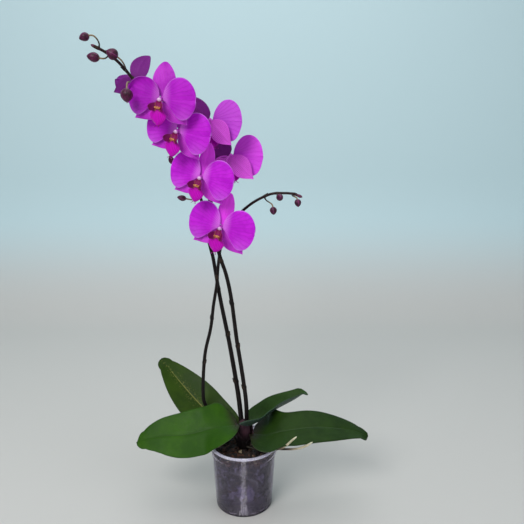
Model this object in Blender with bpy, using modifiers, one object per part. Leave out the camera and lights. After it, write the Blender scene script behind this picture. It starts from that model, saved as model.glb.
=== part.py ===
"""Potted moth orchid: clear nursery pot, bark mix, crown, four leaves, three flower
spikes, nine buds, seven flowers and two aerial roots. Metres, +Z up, the origin at
the middle of the pot's flat base. The plant's own sizes are written in millimetres
and measured from the top of the bark."""
import math

import bmesh
import bpy
import numpy as np
from mathutils import Matrix, Vector

MM = 0.001
FIT = 0.4 * MM               # clearance between pieces that meet

# Pot
POT_HEIGHT = 117 * MM
RIM_RADIUS = 60 * MM         # outside of the rolled rim
RIM_BEAD = 2.4 * MM          # radius of the roll
COLLAR_DEPTH = 19 * MM
COLLAR_STEP = 2.2 * MM       # the wall under the collar stands in by this much
BASE_RADIUS = 50 * MM
WALL = 1.4 * MM
FLOOR = 1.6 * MM
DRAIN_HOLES = 6
DRAIN_RADIUS = 4 * MM
DRAIN_CIRCLE = 30 * MM       # drain holes stand on a circle of this radius
POT_STEPS = 28

# Bark mix
HEADSPACE = 15 * MM          # bark surface lies this far below the rim
BARK_TOP = POT_HEIGHT - HEADSPACE

# Crown
CROWN_WIDTH = 26 * MM
CROWN_DEPTH = 21 * MM
CROWN_HEIGHT = 54 * MM
CROWN_BACK = 4 * MM          # it stands this far behind the pot's middle

# Leaves, spikes, buds, flowers
LEAF_THICKNESS = 2.2 * MM
LEAF_INSET = .1 * MM         # extra room where a leaf's curved foot meets the crown
SIDE_INSET = .2 * MM         # extra room where a spike leaves the crown's curved side
FOOT_SLANT = .26             # a slanting stem end reaches back this share of its radius
SPIKE_RADIUS = 3.4 * MM      # at the foot
SPIKE_TIP_RADIUS = 1.4 * MM
SPIKE_POINTS = 34            # stations along each spike
PEDICEL_RADIUS = 1.1 * MM
ROOT_RADIUS = 1.9 * MM
COLUMN_RADIUS = 2.1 * MM
COLUMN_LENGTH = 9.5 * MM
PETAL_THICKNESS = 0.9 * MM
SEPAL_THICKNESS = 1.0 * MM
LIP_THICKNESS = 1.3 * MM

# Petal outline: distance out from the claw, half height above and below the axis,
# all as shares of half the flower's width.
PETAL_OUTLINE = ((0, .05, .04), (.08, .13, .08), (.18, .33, .16), (.30, .49, .31),
                 (.42, .56, .46), (.55, .58, .55), (.70, .53, .55), (.84, .41, .45),
                 (.94, .24, .27), (1, .03, .03))
# Lip outline: distance along the tongue, half width.
LIP_OUTLINE = ((0, .06), (.15, .13), (.30, .24), (.45, .19), (.60, .17), (.75, .19),
               (.88, .12), (1, .02))

# Spikes: millimetre points above the bark, from the crown to the tip.
SPIKES = {
    "spike_main": ((5, 2, 0), (4, 4, 90), (-3, 7, 145), (-11, 8, 199), (-19, 8, 268),
                   (-27, 7, 312), (-39, 5, 352), (-47, 2, 400), (-50, -2, 437),
                   (-57, -6, 460), (-84, -18, 526), (-120, -27, 573), (-155, -39, 617),
                   (-173, -46, 641), (-187, -50, 649), (-199, -53, 662), (-210, -56, 664)),
    "spike_left": ((-5, 8, 0), (-9, 14, 90), (-16, 20, 135), (-26, 28, 192),
                   (-40, 32, 266), (-51, 34, 336), (-57, 34, 362), (-63, 31, 400),
                   (-68, 27, 436), (-80, 20, 462), (-92, 13, 479), (-103, 8, 491)),
    "spike_right": ((-12, 15, 30), (-34, 23, 46), (-58, 29, 56), (-71, 31, 70),
                    (-73, 30, 105), (-68, 28, 166), (-57, 26, 214), (-51, 24, 257),
                    (-45, 22, 292), (-41, 20, 331), (-35, 18, 364), (-18, 15, 400),
                    (7, 10, 426), (28, 6, 440), (50, 2, 449), (82, -4, 449),
                    (96, -6, 444)),
}
SPIKE_FOOT = {"spike_main": 1.0, "spike_left": 1.15, "spike_right": 0.9}

# Leaves: midrib points (mm above the bark), half width, lean of the blade in degrees
# (far edge up), how far the edges rise as a share of the half width, foot half width.
LEAVES = {
    "leaf_left_front": (((-17, 1, 44), (-36, -7, 46), (-64, -10, 41), (-103, -11, 32),
                         (-143, -11, 30), (-172, -12, 23), (-186, -12, 18)),
                        41, 44, .10, 8),
    "leaf_left_back": (((-18, 11, 22), (-36, 22, 32), (-58, 37, 41), (-80, 50, 57),
                        (-113, 72, 83), (-140, 89, 108), (-160, 100, 127)),
                       37, 32, .20, 8),
    "leaf_right_front": (((17, 1, 27), (40, -6, 30), (65, -7, 36), (94, -5, 40),
                          (130, -2, 42), (179, 1, 36), (205, 3, 28), (219, 3, 21)),
                         38, 16, .10, 8),
    "leaf_right_back": (((16, 12, 38), (30, 27, 44), (50, 43, 50), (69, 53, 56),
                         (89, 60, 64), (104, 64, 73), (116, 66, 82)),
                        19, 20, .75, 7),
}

# Aerial roots (mm above the bark)
ROOTS = {
    "aerial_root_1": ((12, -16, 6), (30, -27, 13), (50, -39, 20), (68, -44, 28),
                      (78, -46, 38), (85, -46, 45), (90, -46, 49)),
    "aerial_root_2": ((18, -4, 8), (36, -22, 15), (60, -34, 19), (88, -39, 22),
                      (104, -43, 29), (112, -44, 35), (117, -44, 38)),
}

# Buds: spike, share of the way up it, bud middle and the way its tip points (mm above
# the bark, and a direction), bud length and radius in mm.
BUDS = {
    "bud_1": ("spike_main", .982, (-217, -61, 673), (-1, -.1, -.35), 15, 5.8),
    "bud_2": ("spike_main", .958, (-205, -65, 646), (-1, -.1, .15), 18, 6.6),
    "bud_3": ("spike_main", .912, (-178, -66, 650), (-.8, -.5, .45), 17, 7.8),
    "bud_4": ("spike_main", .885, (-157, -80, 593), (0, -.15, -1), 19, 8.6),
    "bud_5": ("spike_right", .885, (50, -4, 422), (.1, -.3, -1), 13, 5.6),
    "bud_6": ("spike_right", .925, (60, -17, 445), (.25, -.9, .2), 14, 5.4),
    "bud_7": ("spike_right", .970, (88, -19, 436), (.1, -.6, -1), 13, 5.2),
    "bud_8": ("spike_left", .975, (-111, 2, 502), (-.3, -.3, 1), 14, 4.6),
    "bud_9": ("spike_left", .860, (-98, 12, 441), (-1, -.1, .2), 15, 4.6),
}

# Flowers: spike, share of the way up it, middle (mm above the bark), width in mm, then
# yaw, pitch and roll of the face in degrees, the turn of the dorsal sepal, lateral
# sepals and petals from their usual place, and how far the flower is still closed.
FLOWERS = {
    1: ("spike_main", .845, (-158, -14, 620), 104, 162, -8, -20, 0, 0, 0, 58),
    2: ("spike_main", .826, (-111, -67, 590), 102, 12, 0, 8, 0, 0, 0, 0),
    3: ("spike_main", .713, (-91, -50, 546), 104, 18, 2, 15, 0, 0, 0, 0),
    4: ("spike_main", .618, (-60, -36, 478), 104, 16, 2, 15, 0, 0, 0, 0),
    5: ("spike_right", .690, (-32, -22, 399), 110, 14, 2, 14, 0, 0, 0, 0),
    6: ("spike_main", .665, (-47, -2, 562), 108, -154, 0, 4, 48, 8, 10, 0),
    7: ("spike_main", .570, (-17, 24, 508), 112, -154, 0, 4, 44, 6, 8, 0),
}
DORSAL_ANGLE = 90
LATERAL_ANGLE = 129          # between the dorsal sepal and each lateral one
SEPAL_LENGTH = .97           # sepal and lip sizes, as shares of half the width
SEPAL_HALF_WIDTH = .33
HUB_RING = .13
DORSAL_SHUT = .5             # on an opening flower the dorsal sepal lifts first
LIP_LENGTH = .62
LIP_FOOT = .085              # the lip hinges this far up the column


def clear_scene():
    for old in list(bpy.data.objects):
        bpy.data.objects.remove(old, do_unlink=True)


def collection(name):
    group = bpy.data.collections.new(name)
    bpy.context.scene.collection.children.link(group)
    return group


def material(name, colour, roughness, metallic=0.0):
    mat = bpy.data.materials.new(name)
    mat.use_nodes = True
    shader = mat.node_tree.nodes["Principled BSDF"]
    shader.inputs["Base Color"].default_value = (*colour, 1)
    shader.inputs["Roughness"].default_value = roughness
    shader.inputs["Metallic"].default_value = metallic
    mat.diffuse_color = (*colour, 1)
    return mat


def add_object(name, data, mat, parent=None):
    obj = bpy.data.objects.new(name, data)
    data.materials.append(mat)
    parts.objects.link(obj)
    obj.parent = parent
    return obj


def smooth_path(points, count):
    """Points at even shares of the way along a smooth curve through the given ones."""
    pts = np.array(points, float)
    padded = np.vstack([2 * pts[0] - pts[1], pts, 2 * pts[-1] - pts[-2]])
    fine = []
    for a, b, c, d in zip(padded, padded[1:], padded[2:], padded[3:]):
        for t in np.linspace(0, 1, 24, endpoint=False):
            fine.append(.5 * (2 * b + (c - a) * t + (2 * a - 5 * b + 4 * c - d) * t ** 2
                              + (3 * b - a - 3 * c + d) * t ** 3))
    fine.append(pts[-1])
    fine = np.array(fine)
    length = np.concatenate([[0], np.cumsum(np.linalg.norm(np.diff(fine, axis=0), axis=1))])
    stations = np.linspace(0, length[-1], count)
    return np.stack([np.interp(stations, length, fine[:, i]) for i in range(3)], axis=1)


def tangents(path):
    slope = np.gradient(path, axis=0)
    return slope / np.linalg.norm(slope, axis=1)[:, None]


def tube(name, path, radii, mat, sides=2):
    """A round stem along a path, its radius given at each point."""
    curve = bpy.data.curves.new(name, "CURVE")
    curve.dimensions = "3D"
    curve.bevel_depth = 1.0
    curve.bevel_resolution = sides
    curve.use_fill_caps = True
    spline = curve.splines.new("POLY")
    spline.points.add(len(path) - 1)
    for point, place, radius in zip(spline.points, path, radii):
        point.co = (*place, 1)
        point.radius = radius
    return add_object(name, curve, mat)


def sheet(name, shape, across, along, thickness, mat, parent=None, ring=False):
    """A thin blade: a flat grid moved to shape(u, v), then thickened. u runs from -1
    to 1 across it and v from 0 to 1 along it. A ring joins its two long edges."""
    bm = bmesh.new()
    bmesh.ops.create_grid(bm, x_segments=across, y_segments=along, size=1)
    for vert in bm.verts:
        u, v = vert.co.x, (vert.co.y + 1) / 2
        vert.co = Vector([float(value) for value in shape(u, v)])
    if ring:
        bmesh.ops.remove_doubles(bm, verts=bm.verts, dist=0.00005)
    bmesh.ops.triangulate(bm, faces=bm.faces)
    bmesh.ops.recalc_face_normals(bm, faces=bm.faces)
    mesh = bpy.data.meshes.new(name)
    bm.to_mesh(mesh)
    bm.free()
    mesh.shade_smooth()
    obj = add_object(name, mesh, mat, parent)
    solid = obj.modifiers.new("Thickness", "SOLIDIFY")
    solid.thickness = thickness
    solid.offset = 0
    return obj


def turned(name, profile, steps, mat, place=(0, 0, 0)):
    """A profile of (radius, height) points turned about Z."""
    mesh = bpy.data.meshes.new(name)
    verts = [(radius, 0, height) for radius, height in profile]
    mesh.from_pydata(verts, [(i, i + 1) for i in range(len(verts) - 1)], [])
    obj = add_object(name, mesh, mat)
    obj.location = place
    screw = obj.modifiers.new("Turn", "SCREW")
    screw.steps = screw.render_steps = steps
    screw.use_merge_vertices = True
    screw.merge_threshold = 0.00001
    return obj


def arc(centre_r, centre_z, radius, start, end, count):
    """Points of a round corner in a profile, angles in degrees from outward."""
    angles = np.radians(np.linspace(start, end, count))
    return [(centre_r + radius * math.cos(a), centre_z + radius * math.sin(a))
            for a in angles]


def wall_radius(height):
    """Outside of the pot's wall below the collar."""
    top = RIM_RADIUS - RIM_BEAD - COLLAR_STEP
    return BASE_RADIUS + (top - BASE_RADIUS) * height / (POT_HEIGHT - COLLAR_DEPTH)


def build_pot():
    """Outer profile from the middle of the inside floor, up the inside, over the
    rolled rim and down the outside to the middle of the base."""
    collar_z = POT_HEIGHT - COLLAR_DEPTH
    collar_r = RIM_RADIUS - RIM_BEAD
    bead_r, bead_z = RIM_RADIUS - RIM_BEAD, POT_HEIGHT - RIM_BEAD
    profile = [(0, FLOOR), (BASE_RADIUS - WALL - 3 * MM, FLOOR),
               (wall_radius(FLOOR + 3 * MM) - WALL, FLOOR + 3 * MM),
               (wall_radius(collar_z) - WALL, collar_z + WALL),
               (collar_r - WALL, collar_z + WALL + COLLAR_STEP),
               (collar_r - WALL, POT_HEIGHT - RIM_BEAD)]
    profile += arc(bead_r, bead_z, RIM_BEAD, 120, -70, 6)
    profile += [(collar_r, POT_HEIGHT - 2.6 * RIM_BEAD), (collar_r, collar_z),
                (wall_radius(collar_z), collar_z - COLLAR_STEP),
                (wall_radius(3 * MM), 3 * MM), (BASE_RADIUS - 2 * MM, 0), (0, 0)]
    pot = turned("pot", profile, POT_STEPS, pot_plastic)
    for index in range(DRAIN_HOLES):
        angle = 2 * math.pi * (index + .5) / DRAIN_HOLES
        bpy.ops.mesh.primitive_cylinder_add(
            vertices=12, radius=DRAIN_RADIUS, depth=4 * FLOOR,
            location=(DRAIN_CIRCLE * math.cos(angle), DRAIN_CIRCLE * math.sin(angle), 0))
        cutter = bpy.context.active_object
        cutter.name = f"drain_cutter_{index + 1}"
        for group in list(cutter.users_collection):
            group.objects.unlink(cutter)
        cutters.objects.link(cutter)
        cutter.hide_render = True
        cutter.display_type = "WIRE"
        hole = pot.modifiers.new(f"Drain {index + 1}", "BOOLEAN")
        hole.operation = "DIFFERENCE"
        hole.object = cutter


def build_bark():
    """The settled mix: it fills the pot up to the headspace with a low mound."""
    inner = [(wall_radius(z) - WALL - FIT, z)
             for z in (FLOOR + 4 * MM, POT_HEIGHT / 2, BARK_TOP - COLLAR_STEP - 3 * MM)]
    edge = min(inner[-1][0], wall_radius(BARK_TOP - COLLAR_DEPTH) - WALL - FIT)
    floor = (BASE_RADIUS - WALL - 4 * MM, FLOOR + FIT)
    profile = [(0, BARK_TOP), (.5 * edge, BARK_TOP), (.85 * edge, BARK_TOP - 1 * MM),
               (edge, BARK_TOP - 3 * MM)]
    profile += [(inner[1][0], inner[1][1]), (inner[0][0], inner[0][1]), floor, (0, floor[1])]
    turned("potting_bark", profile, POT_STEPS, bark_mix)


def crown_swell(up):
    """Width of the crown at a share of its height, against its nominal width."""
    return .80 + .28 * math.sin(math.pi * min(1, up * 1.05)) - .12 * up


def from_crown(points, inset):
    """A path in metres whose first point is brought onto the crown's side, so that
    what grows there stands just clear of it."""
    path = np.array(points) * MM
    x, y = path[0, 0], path[0, 1] - CROWN_BACK
    swell = crown_swell(path[0, 2] / CROWN_HEIGHT) / 2
    reach = 1 / math.hypot(x / (CROWN_WIDTH * swell), y / (CROWN_DEPTH * swell))
    out = np.array([x, y]) / math.hypot(x, y)
    side = np.array([x, y]) * reach + out * (FIT + inset)
    path[0, :2] = side + (0, CROWN_BACK)
    return path


def build_crown():
    """The short stem in its old leaf sheaths: an oval loft, widest at the middle."""
    bm = bmesh.new()
    bmesh.ops.create_cone(bm, segments=16, cap_ends=True, radius1=.5, radius2=.5, depth=1)
    bmesh.ops.bisect_plane(bm, geom=bm.verts[:] + bm.edges[:] + bm.faces[:],
                           plane_co=(0, 0, -.15), plane_no=(0, 0, 1))
    bmesh.ops.bisect_plane(bm, geom=bm.verts[:] + bm.edges[:] + bm.faces[:],
                           plane_co=(0, 0, .3), plane_no=(0, 0, 1))
    for vert in bm.verts:
        up = vert.co.z + .5
        swell = crown_swell(up)
        vert.co.x *= CROWN_WIDTH * swell
        vert.co.y *= CROWN_DEPTH * swell
        vert.co.z = up * CROWN_HEIGHT
    mesh = bpy.data.meshes.new("plant_crown")
    bm.to_mesh(mesh)
    bm.free()
    mesh.shade_smooth()
    mesh.set_sharp_from_angle(angle=math.radians(50))
    crown = add_object("plant_crown", mesh, sheath)
    crown.location = (0, CROWN_BACK, BARK_TOP + FIT)


def build_leaf(name):
    points, half_width, lean, rise, foot = LEAVES[name]
    path = smooth_path(from_crown(points, LEAF_INSET), 60) + (0, 0, BARK_TOP)
    along = tangents(path)
    half_width, foot = half_width * MM, foot * MM
    lean = math.radians(lean)

    def shape(u, v):
        place = np.array([np.interp(v, np.linspace(0, 1, 60), path[:, i]) for i in range(3)])
        ahead = np.array([np.interp(v, np.linspace(0, 1, 60), along[:, i]) for i in range(3)])
        ahead /= np.linalg.norm(ahead)
        level = np.cross(ahead, (0, 0, 1))
        level *= math.copysign(1, level[1]) / np.linalg.norm(level)
        upward = np.cross(ahead, level)
        upward *= math.copysign(1, upward[2])
        fade = min(1, v * 3)
        tilt = lean * fade
        side = level * math.cos(tilt) + upward * math.sin(tilt)
        face = upward * math.cos(tilt) - level * math.sin(tilt)
        blade = math.sin(math.pi * min(1, max(0, v)) ** .78) ** .62
        width = foot * (1 - v) ** 2 + (half_width - foot * (1 - v) ** 2) * blade + .4 * MM
        channel = rise + (.55 - rise) * (1 - fade) if rise < .55 else rise
        return place + side * u * width + face * channel * width * abs(u) ** 1.6

    sheet(name, shape, 4, 12, LEAF_THICKNESS, leaf_green)


def spike_radius(name, share):
    foot = SPIKE_RADIUS * SPIKE_FOOT[name]
    return foot + (SPIKE_TIP_RADIUS - foot) * share ** 1.2


def build_spike(name):
    path = spike_paths[name]
    radii = [spike_radius(name, i / (len(path) - 1)) for i in range(len(path))]
    tube(name, path, radii, spike_skin)


def off_spike(name, share, target, radius):
    """Where a stalk leaves a spike: on its surface, on the side facing the target,
    with the outward direction there."""
    path = spike_paths[name]
    at = share * (len(path) - 1)
    low = min(int(at), len(path) - 2)
    place = path[low] + (path[low + 1] - path[low]) * (at - low)
    run = path[low + 1] - path[low]
    run = run / np.linalg.norm(run)
    out = np.array(target) - place
    out = out - run * out.dot(run)
    out = out / np.linalg.norm(out)
    return place + out * (spike_radius(name, share) + FIT + .1 * radius), out


def bend(start, start_way, end, end_way, count, reach=.4):
    """A smooth run from start, leaving along start_way and arriving along end_way."""
    span = np.linalg.norm(end - start) * reach
    a, b, c, d = start, start + start_way * span, end - end_way * span, end
    t = np.linspace(0, 1, count)[:, None]
    return (1 - t) ** 3 * a + 3 * (1 - t) ** 2 * t * b + 3 * (1 - t) * t ** 2 * c + t ** 3 * d


def build_bud(name):
    spike, share, middle, way, length, radius = BUDS[name]
    way = np.array(way, float)
    way /= np.linalg.norm(way)
    length, radius = length * MM, radius * MM
    middle = np.array(middle) * MM + (0, 0, BARK_TOP)
    back = middle - way * length / 2
    start, out = off_spike(spike, share, middle, PEDICEL_RADIUS)
    stalk = bend(start, out, back, way, 6)
    swell = np.array([.12, .4, .7, .92])
    bud = back + way * length * swell[:, None]
    path = np.vstack([stalk, bud, [back + way * length]])
    bulge = radius * np.sin(math.pi * swell ** .9) ** .6
    radii = [PEDICEL_RADIUS] * len(stalk) + list(np.maximum(bulge, PEDICEL_RADIUS)) + [.8 * MM]
    tube(name, path, radii, bud_skin)


def facing(yaw, pitch, roll):
    """Turn of a flower: +X its right, +Y its top, +Z out of its face. With no turn it
    faces -Y. Yaw turns it towards -X, pitch lifts it, roll leans its top to its right."""
    yaw, pitch, roll = (math.radians(a) for a in (yaw, pitch, roll))
    out = Vector((-math.sin(yaw) * math.cos(pitch), -math.cos(yaw) * math.cos(pitch),
                  math.sin(pitch)))
    right = Vector((math.cos(yaw), -math.sin(yaw), 0))
    top = out.cross(right)
    turned_right = right * math.cos(roll) - top * math.sin(roll)
    turned_top = top * math.cos(roll) + right * math.sin(roll)
    return Matrix((turned_right, turned_top, out)).transposed()


def closed(x, y, z, angle):
    """Bends a flower's blade forward by an angle, clear of the column's foot."""
    reach = math.hypot(x, y)
    foot = min(reach, COLUMN_RADIUS + 2 * FIT)
    beyond = reach - foot
    folded = foot + beyond * math.cos(angle) - z * math.sin(angle) * min(1, beyond / foot / 2)
    return x * folded / reach, y * folded / reach, z + beyond * math.sin(angle)


def build_flower(number):
    spike, share, middle, width, yaw, pitch, roll, dorsal, lateral, lift, shut = FLOWERS[number]
    middle = np.array(middle) * MM + (0, 0, BARK_TOP)
    half = width * MM / 2
    shut = math.radians(shut)
    name = f"flower_{number}"
    seat = bpy.data.objects.new(f"{name}_seat", None)
    parts.objects.link(seat)
    turn = facing(yaw, pitch, roll)
    seat.matrix_world = Matrix.Translation(middle) @ turn.to_4x4()
    lobes = [DORSAL_ANGLE - dorsal, DORSAL_ANGLE - LATERAL_ANGLE - lateral,
             DORSAL_ANGLE + LATERAL_ANGLE + lateral]
    hole = COLUMN_RADIUS + FIT

    def sepals(u, v):
        """Three oval lobes round a hub ring, bent back a little towards their tips."""
        angle = math.pi * (u + .5)
        rim = HUB_RING * half
        for index, lobe in enumerate(lobes):
            away = (math.degrees(angle) - lobe + 180) % 360 - 180
            c, a = SEPAL_LENGTH * .54, SEPAL_LENGTH * .46
            b = SEPAL_HALF_WIDTH * (1 if index == 0 else .9)
            ray = math.radians(abs(away))
            if ray < math.pi / 2:
                k = (math.cos(ray) / a) ** 2 + (math.sin(ray) / b) ** 2
                h = c * math.cos(ray) / a ** 2
                under = h * h - k * (c * c / a ** 2 - 1)
                if under > 0:
                    point = 1 + (.05 if index else 0) * math.exp(-(away / 6) ** 2)
                    rim = max(rim, half * (h + math.sqrt(under)) / k * point)
        reach = hole + (rim - hole) * v
        share = reach / half
        depth = half * (-.055 - .05 * share ** 2)
        top = math.cos(angle - math.radians(lobes[0])) > .5
        bend_in = shut * (DORSAL_SHUT if top else 1)
        return closed(reach * math.cos(angle), reach * math.sin(angle), depth, bend_in)

    sheet(f"{name}_sepals", sepals, 30, 2, SEPAL_THICKNESS, sepal_skin, seat, ring=True)

    outline = np.array(PETAL_OUTLINE)
    claw = hole / half

    def petal(hand):
        tilt = math.radians(4 - lift)

        def shape(u, v):
            """A broad fan on a narrow claw: cupped forward, then bent back."""
            s = math.sin(v * math.pi / 2)
            high = np.interp(s, outline[:, 0], outline[:, 1 if u > 0 else 2])
            x, y = claw + (1 - claw) * s, high * u
            x, y = x * math.cos(tilt) - y * math.sin(tilt), x * math.sin(tilt) + y * math.cos(tilt)
            depth = .025 + .10 * s - .13 * s * s - .03 * u * u * s
            return closed(hand * x * half, y * half, depth * half, shut)
        return shape

    for side, hand in (("right", 1), ("left", -1)):
        sheet(f"{name}_petal_{side}", petal(hand), 5, 6, PETAL_THICKNESS, petal_skin, seat)

    tongue = np.array(LIP_OUTLINE)

    def lip(u, v):
        """A narrow foot, two side lobes that stand up, and a pointed middle lobe."""
        wide = np.interp(v, tongue[:, 0], tongue[:, 1]) * u
        lobe = .22 * u * u * math.exp(-((v - .3) / .14) ** 2)
        drop = -claw - .026 - LIP_LENGTH * (.9 * v + .17 * v * v)
        depth = LIP_FOOT + .32 * v - .25 * v * v + lobe
        return closed(wide * half, drop * half, depth * half, shut * .5)

    sheet(f"{name}_lip", lip, 4, 7, LIP_THICKNESS, lip_skin, seat)

    face = np.array(turn.col[2])
    top = np.array(turn.col[1])
    start, out = off_spike(spike, share, middle - face * 12 * MM, PEDICEL_RADIUS)
    neck = middle - face * 5 * MM
    stalk = bend(start, out, neck, face, 6)
    thick = np.linspace(PEDICEL_RADIUS, 1.6 * PEDICEL_RADIUS, len(stalk))
    column = [middle + face * COLUMN_LENGTH * k - top * COLUMN_LENGTH * .22 * k * k
              for k in (0, .6, 1)]
    path = np.vstack([stalk, column])
    radii = list(thick) + [COLUMN_RADIUS * k for k in (.9, 1, .75)]
    tube(f"{name}_column", path, radii, column_skin)


clear_scene()
parts = collection("potted_orchid")
cutters = collection("cutters")
pot_plastic = material("clear pot plastic", (.30, .28, .34), .2)
bark_mix = material("bark mix", (.035, .022, .016), .9)
sheath = material("leaf sheath", (.05, .02, .03), .6)
leaf_green = material("leaf", (.030, .085, .012), .38)
spike_skin = material("spike skin", (.012, .008, .009), .5)
bud_skin = material("bud skin", (.14, .012, .08), .45)
sepal_skin = material("sepal", (.50, .03, .62), .5)
petal_skin = material("petal", (.53, .03, .66), .5)
lip_skin = material("lip", (.38, .005, .30), .45)
column_skin = material("column", (.45, .10, .42), .45)
root_skin = material("aerial root", (.45, .42, .25), .6)

spike_paths = {}
for spike_name, spike_points in SPIKES.items():
    set_back = FOOT_SLANT * SPIKE_RADIUS * SPIKE_FOOT[spike_name]
    if spike_name == "spike_right":
        spike_points = from_crown(spike_points, set_back + SIDE_INSET) + (0, 0, BARK_TOP)
    else:
        spike_points = np.array(spike_points) * MM + (0, 0, BARK_TOP)
        spike_points[0, 2] = BARK_TOP + FIT + CROWN_HEIGHT + max(FIT, set_back)
    spike_paths[spike_name] = smooth_path(spike_points, SPIKE_POINTS)

build_pot()
build_bark()
build_crown()
for leaf_name in LEAVES:
    build_leaf(leaf_name)
for spike_name in SPIKES:
    build_spike(spike_name)
for root_name, root_points in ROOTS.items():
    root_path = from_crown(root_points, FOOT_SLANT * ROOT_RADIUS) + (0, 0, BARK_TOP)
    root_path = smooth_path(root_path, 11)
    root_taper = [ROOT_RADIUS * (1 - .45 * i / 10) for i in range(11)]
    tube(root_name, root_path, root_taper, root_skin)
for bud_name in BUDS:
    build_bud(bud_name)
for flower_number in FLOWERS:
    build_flower(flower_number)
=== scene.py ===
"""A potted moth orchid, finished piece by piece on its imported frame."""

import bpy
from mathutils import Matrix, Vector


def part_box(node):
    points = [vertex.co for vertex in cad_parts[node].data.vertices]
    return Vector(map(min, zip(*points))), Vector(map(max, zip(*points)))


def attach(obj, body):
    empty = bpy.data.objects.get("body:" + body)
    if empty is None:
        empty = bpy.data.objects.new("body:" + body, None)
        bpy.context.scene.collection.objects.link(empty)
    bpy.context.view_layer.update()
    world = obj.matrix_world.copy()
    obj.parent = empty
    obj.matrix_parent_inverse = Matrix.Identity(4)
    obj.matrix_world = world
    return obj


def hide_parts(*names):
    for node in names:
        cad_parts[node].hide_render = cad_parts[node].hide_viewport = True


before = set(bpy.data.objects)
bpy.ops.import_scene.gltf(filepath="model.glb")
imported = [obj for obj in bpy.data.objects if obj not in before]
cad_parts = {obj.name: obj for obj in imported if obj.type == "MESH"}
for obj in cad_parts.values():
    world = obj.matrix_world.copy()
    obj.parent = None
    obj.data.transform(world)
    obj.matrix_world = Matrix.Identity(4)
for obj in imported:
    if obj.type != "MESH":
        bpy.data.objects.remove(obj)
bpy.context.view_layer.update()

import math

import bpy
import numpy as np
from mathutils import Vector

# ---------------------------------------------------------------------------
# Flower stalks and columns. Each bloom hangs on a thin fleshy stalk that swells into
# a ribbed ovary behind the sepals. In front it ends in the column, a short waxy
# finger with a pale rounded cap. Stalk and column grew as one piece.


def welded(name):
    """A solid's corners with doubles merged, its triangles, and every pair of corners
    that an edge joins, both ways round."""
    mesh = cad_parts[name].data
    corners = np.empty(len(mesh.vertices) * 3)
    mesh.vertices.foreach_get("co", corners)
    corners, index = np.unique(corners.reshape(-1, 3).round(7), axis=0, return_inverse=True)
    mesh.calc_loop_triangles()
    faces = np.empty(len(mesh.loop_triangles) * 3, int)
    mesh.loop_triangles.foreach_get("vertices", faces)
    faces = index.reshape(-1)[faces].reshape(-1, 3)
    pairs = np.vstack([faces[:, [0, 1]], faces[:, [1, 2]], faces[:, [2, 0]]])
    return corners, faces, np.vstack([pairs, pairs[:, ::-1]])


def steps_from(start, pairs, count):
    """How many edges each corner is from the nearest starting corner."""
    level = np.full(count, -1)
    level[start] = 0
    step = 0
    while (level == step).any():
        reached = pairs[level[pairs[:, 0]] == step, 1]
        level[reached[level[reached] < 0]] = step + 1
        step += 1
    return level


def centre_line(name, thick_first):
    """Centre and radius of each ring of a round stem: starting from one flat end, ring
    after ring is the set of corners joined to the last one and not met before. Of the
    two ends, the one that gives the more even rings is taken."""
    corners, faces, pairs = welded(name)
    ends = corners[faces]
    normals = np.cross(ends[:, 1] - ends[:, 0], ends[:, 2] - ends[:, 0])
    normals /= np.linalg.norm(normals, axis=1)[:, None] + 1e-12
    parallel, same_plane, neighbours = .999, 4e-6, 30
    far, found = 0, []
    for _ in range(2):
        far = steps_from([far], pairs, len(corners)).argmax()
        near = np.argsort(((corners - corners[far]) ** 2).sum(1))[:neighbours]
        way = corners[far] - corners[near].mean(0)
        cap = np.where((faces == far).any(1), normals @ way, -np.inf).argmax()
        height = abs((ends[:, 0] - ends[cap, 0]) @ normals[cap])
        flat = (normals @ normals[cap] > parallel) & (height < same_plane)
        found.append(steps_from(np.unique(faces[flat]), pairs, len(corners)))
    level = min(found, key=lambda steps: np.bincount(steps).std())
    rings = range(level.max() + 1)
    path = np.array([corners[level == ring].mean(0) for ring in rings])
    radii = np.array([np.linalg.norm(corners[level == ring] - path[ring], axis=1).mean()
                      for ring in rings])
    if (radii.argmax() < len(radii) / 2) != thick_first:
        path, radii = path[::-1], radii[::-1]
    return path, radii


def smooth(points, count):
    """Catmull-Rom curve through the rows of points, read at even lengths along it."""
    points = np.asarray(points, float)
    pad = np.vstack([2 * points[0] - points[1], points, 2 * points[-1] - points[-2]])
    t = np.linspace(0, 1, 20, endpoint=False)[None, :, None]
    a, b, c, d = (pad[k:len(pad) - 3 + k, None] for k in range(4))
    fine = .5 * (2 * b + (c - a) * t + (2 * a - 5 * b + 4 * c - d) * t ** 2
                 + (3 * b - a - 3 * c + d) * t ** 3)
    fine = np.vstack([fine.reshape(-1, points.shape[1]), points[-1]])
    run = np.linalg.norm(np.diff(fine[:, :3], axis=0), axis=1)
    length = np.concatenate([[0], np.cumsum(run)])
    at = np.linspace(0, length[-1], count)
    return np.stack([np.interp(at, length, column) for column in fine.T], axis=1)


def axes_along(path):
    """Tangent and two side directions at each point, turned as little as possible."""
    ahead = np.gradient(path, axis=0)
    ahead /= np.linalg.norm(ahead, axis=1)[:, None]
    start = np.cross(ahead[0], (.3, 1, .2))
    side = [start / np.linalg.norm(start)]
    for way in ahead[1:]:
        square = side[-1] - way * side[-1].dot(way)
        side.append(square / np.linalg.norm(square))
    side = np.array(side)
    return ahead, side, np.cross(ahead, side)


def make_piece(name, finish, verts, faces, values):
    """A mesh at the origin from whole arrays. Each key of values becomes an attribute
    with one number per vertex."""
    mesh = bpy.data.meshes.new(name)
    mesh.from_pydata(verts.tolist(), [], faces)
    for key, numbers in values.items():
        layer = mesh.attributes.new(key, "FLOAT", "POINT")
        layer.data.foreach_set("value", np.asarray(numbers, np.float32).ravel())
    mesh.shade_smooth()
    mesh.materials.append(finish)
    piece = bpy.data.objects.new(name, mesh)
    bpy.context.scene.collection.objects.link(piece)
    return piece


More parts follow.
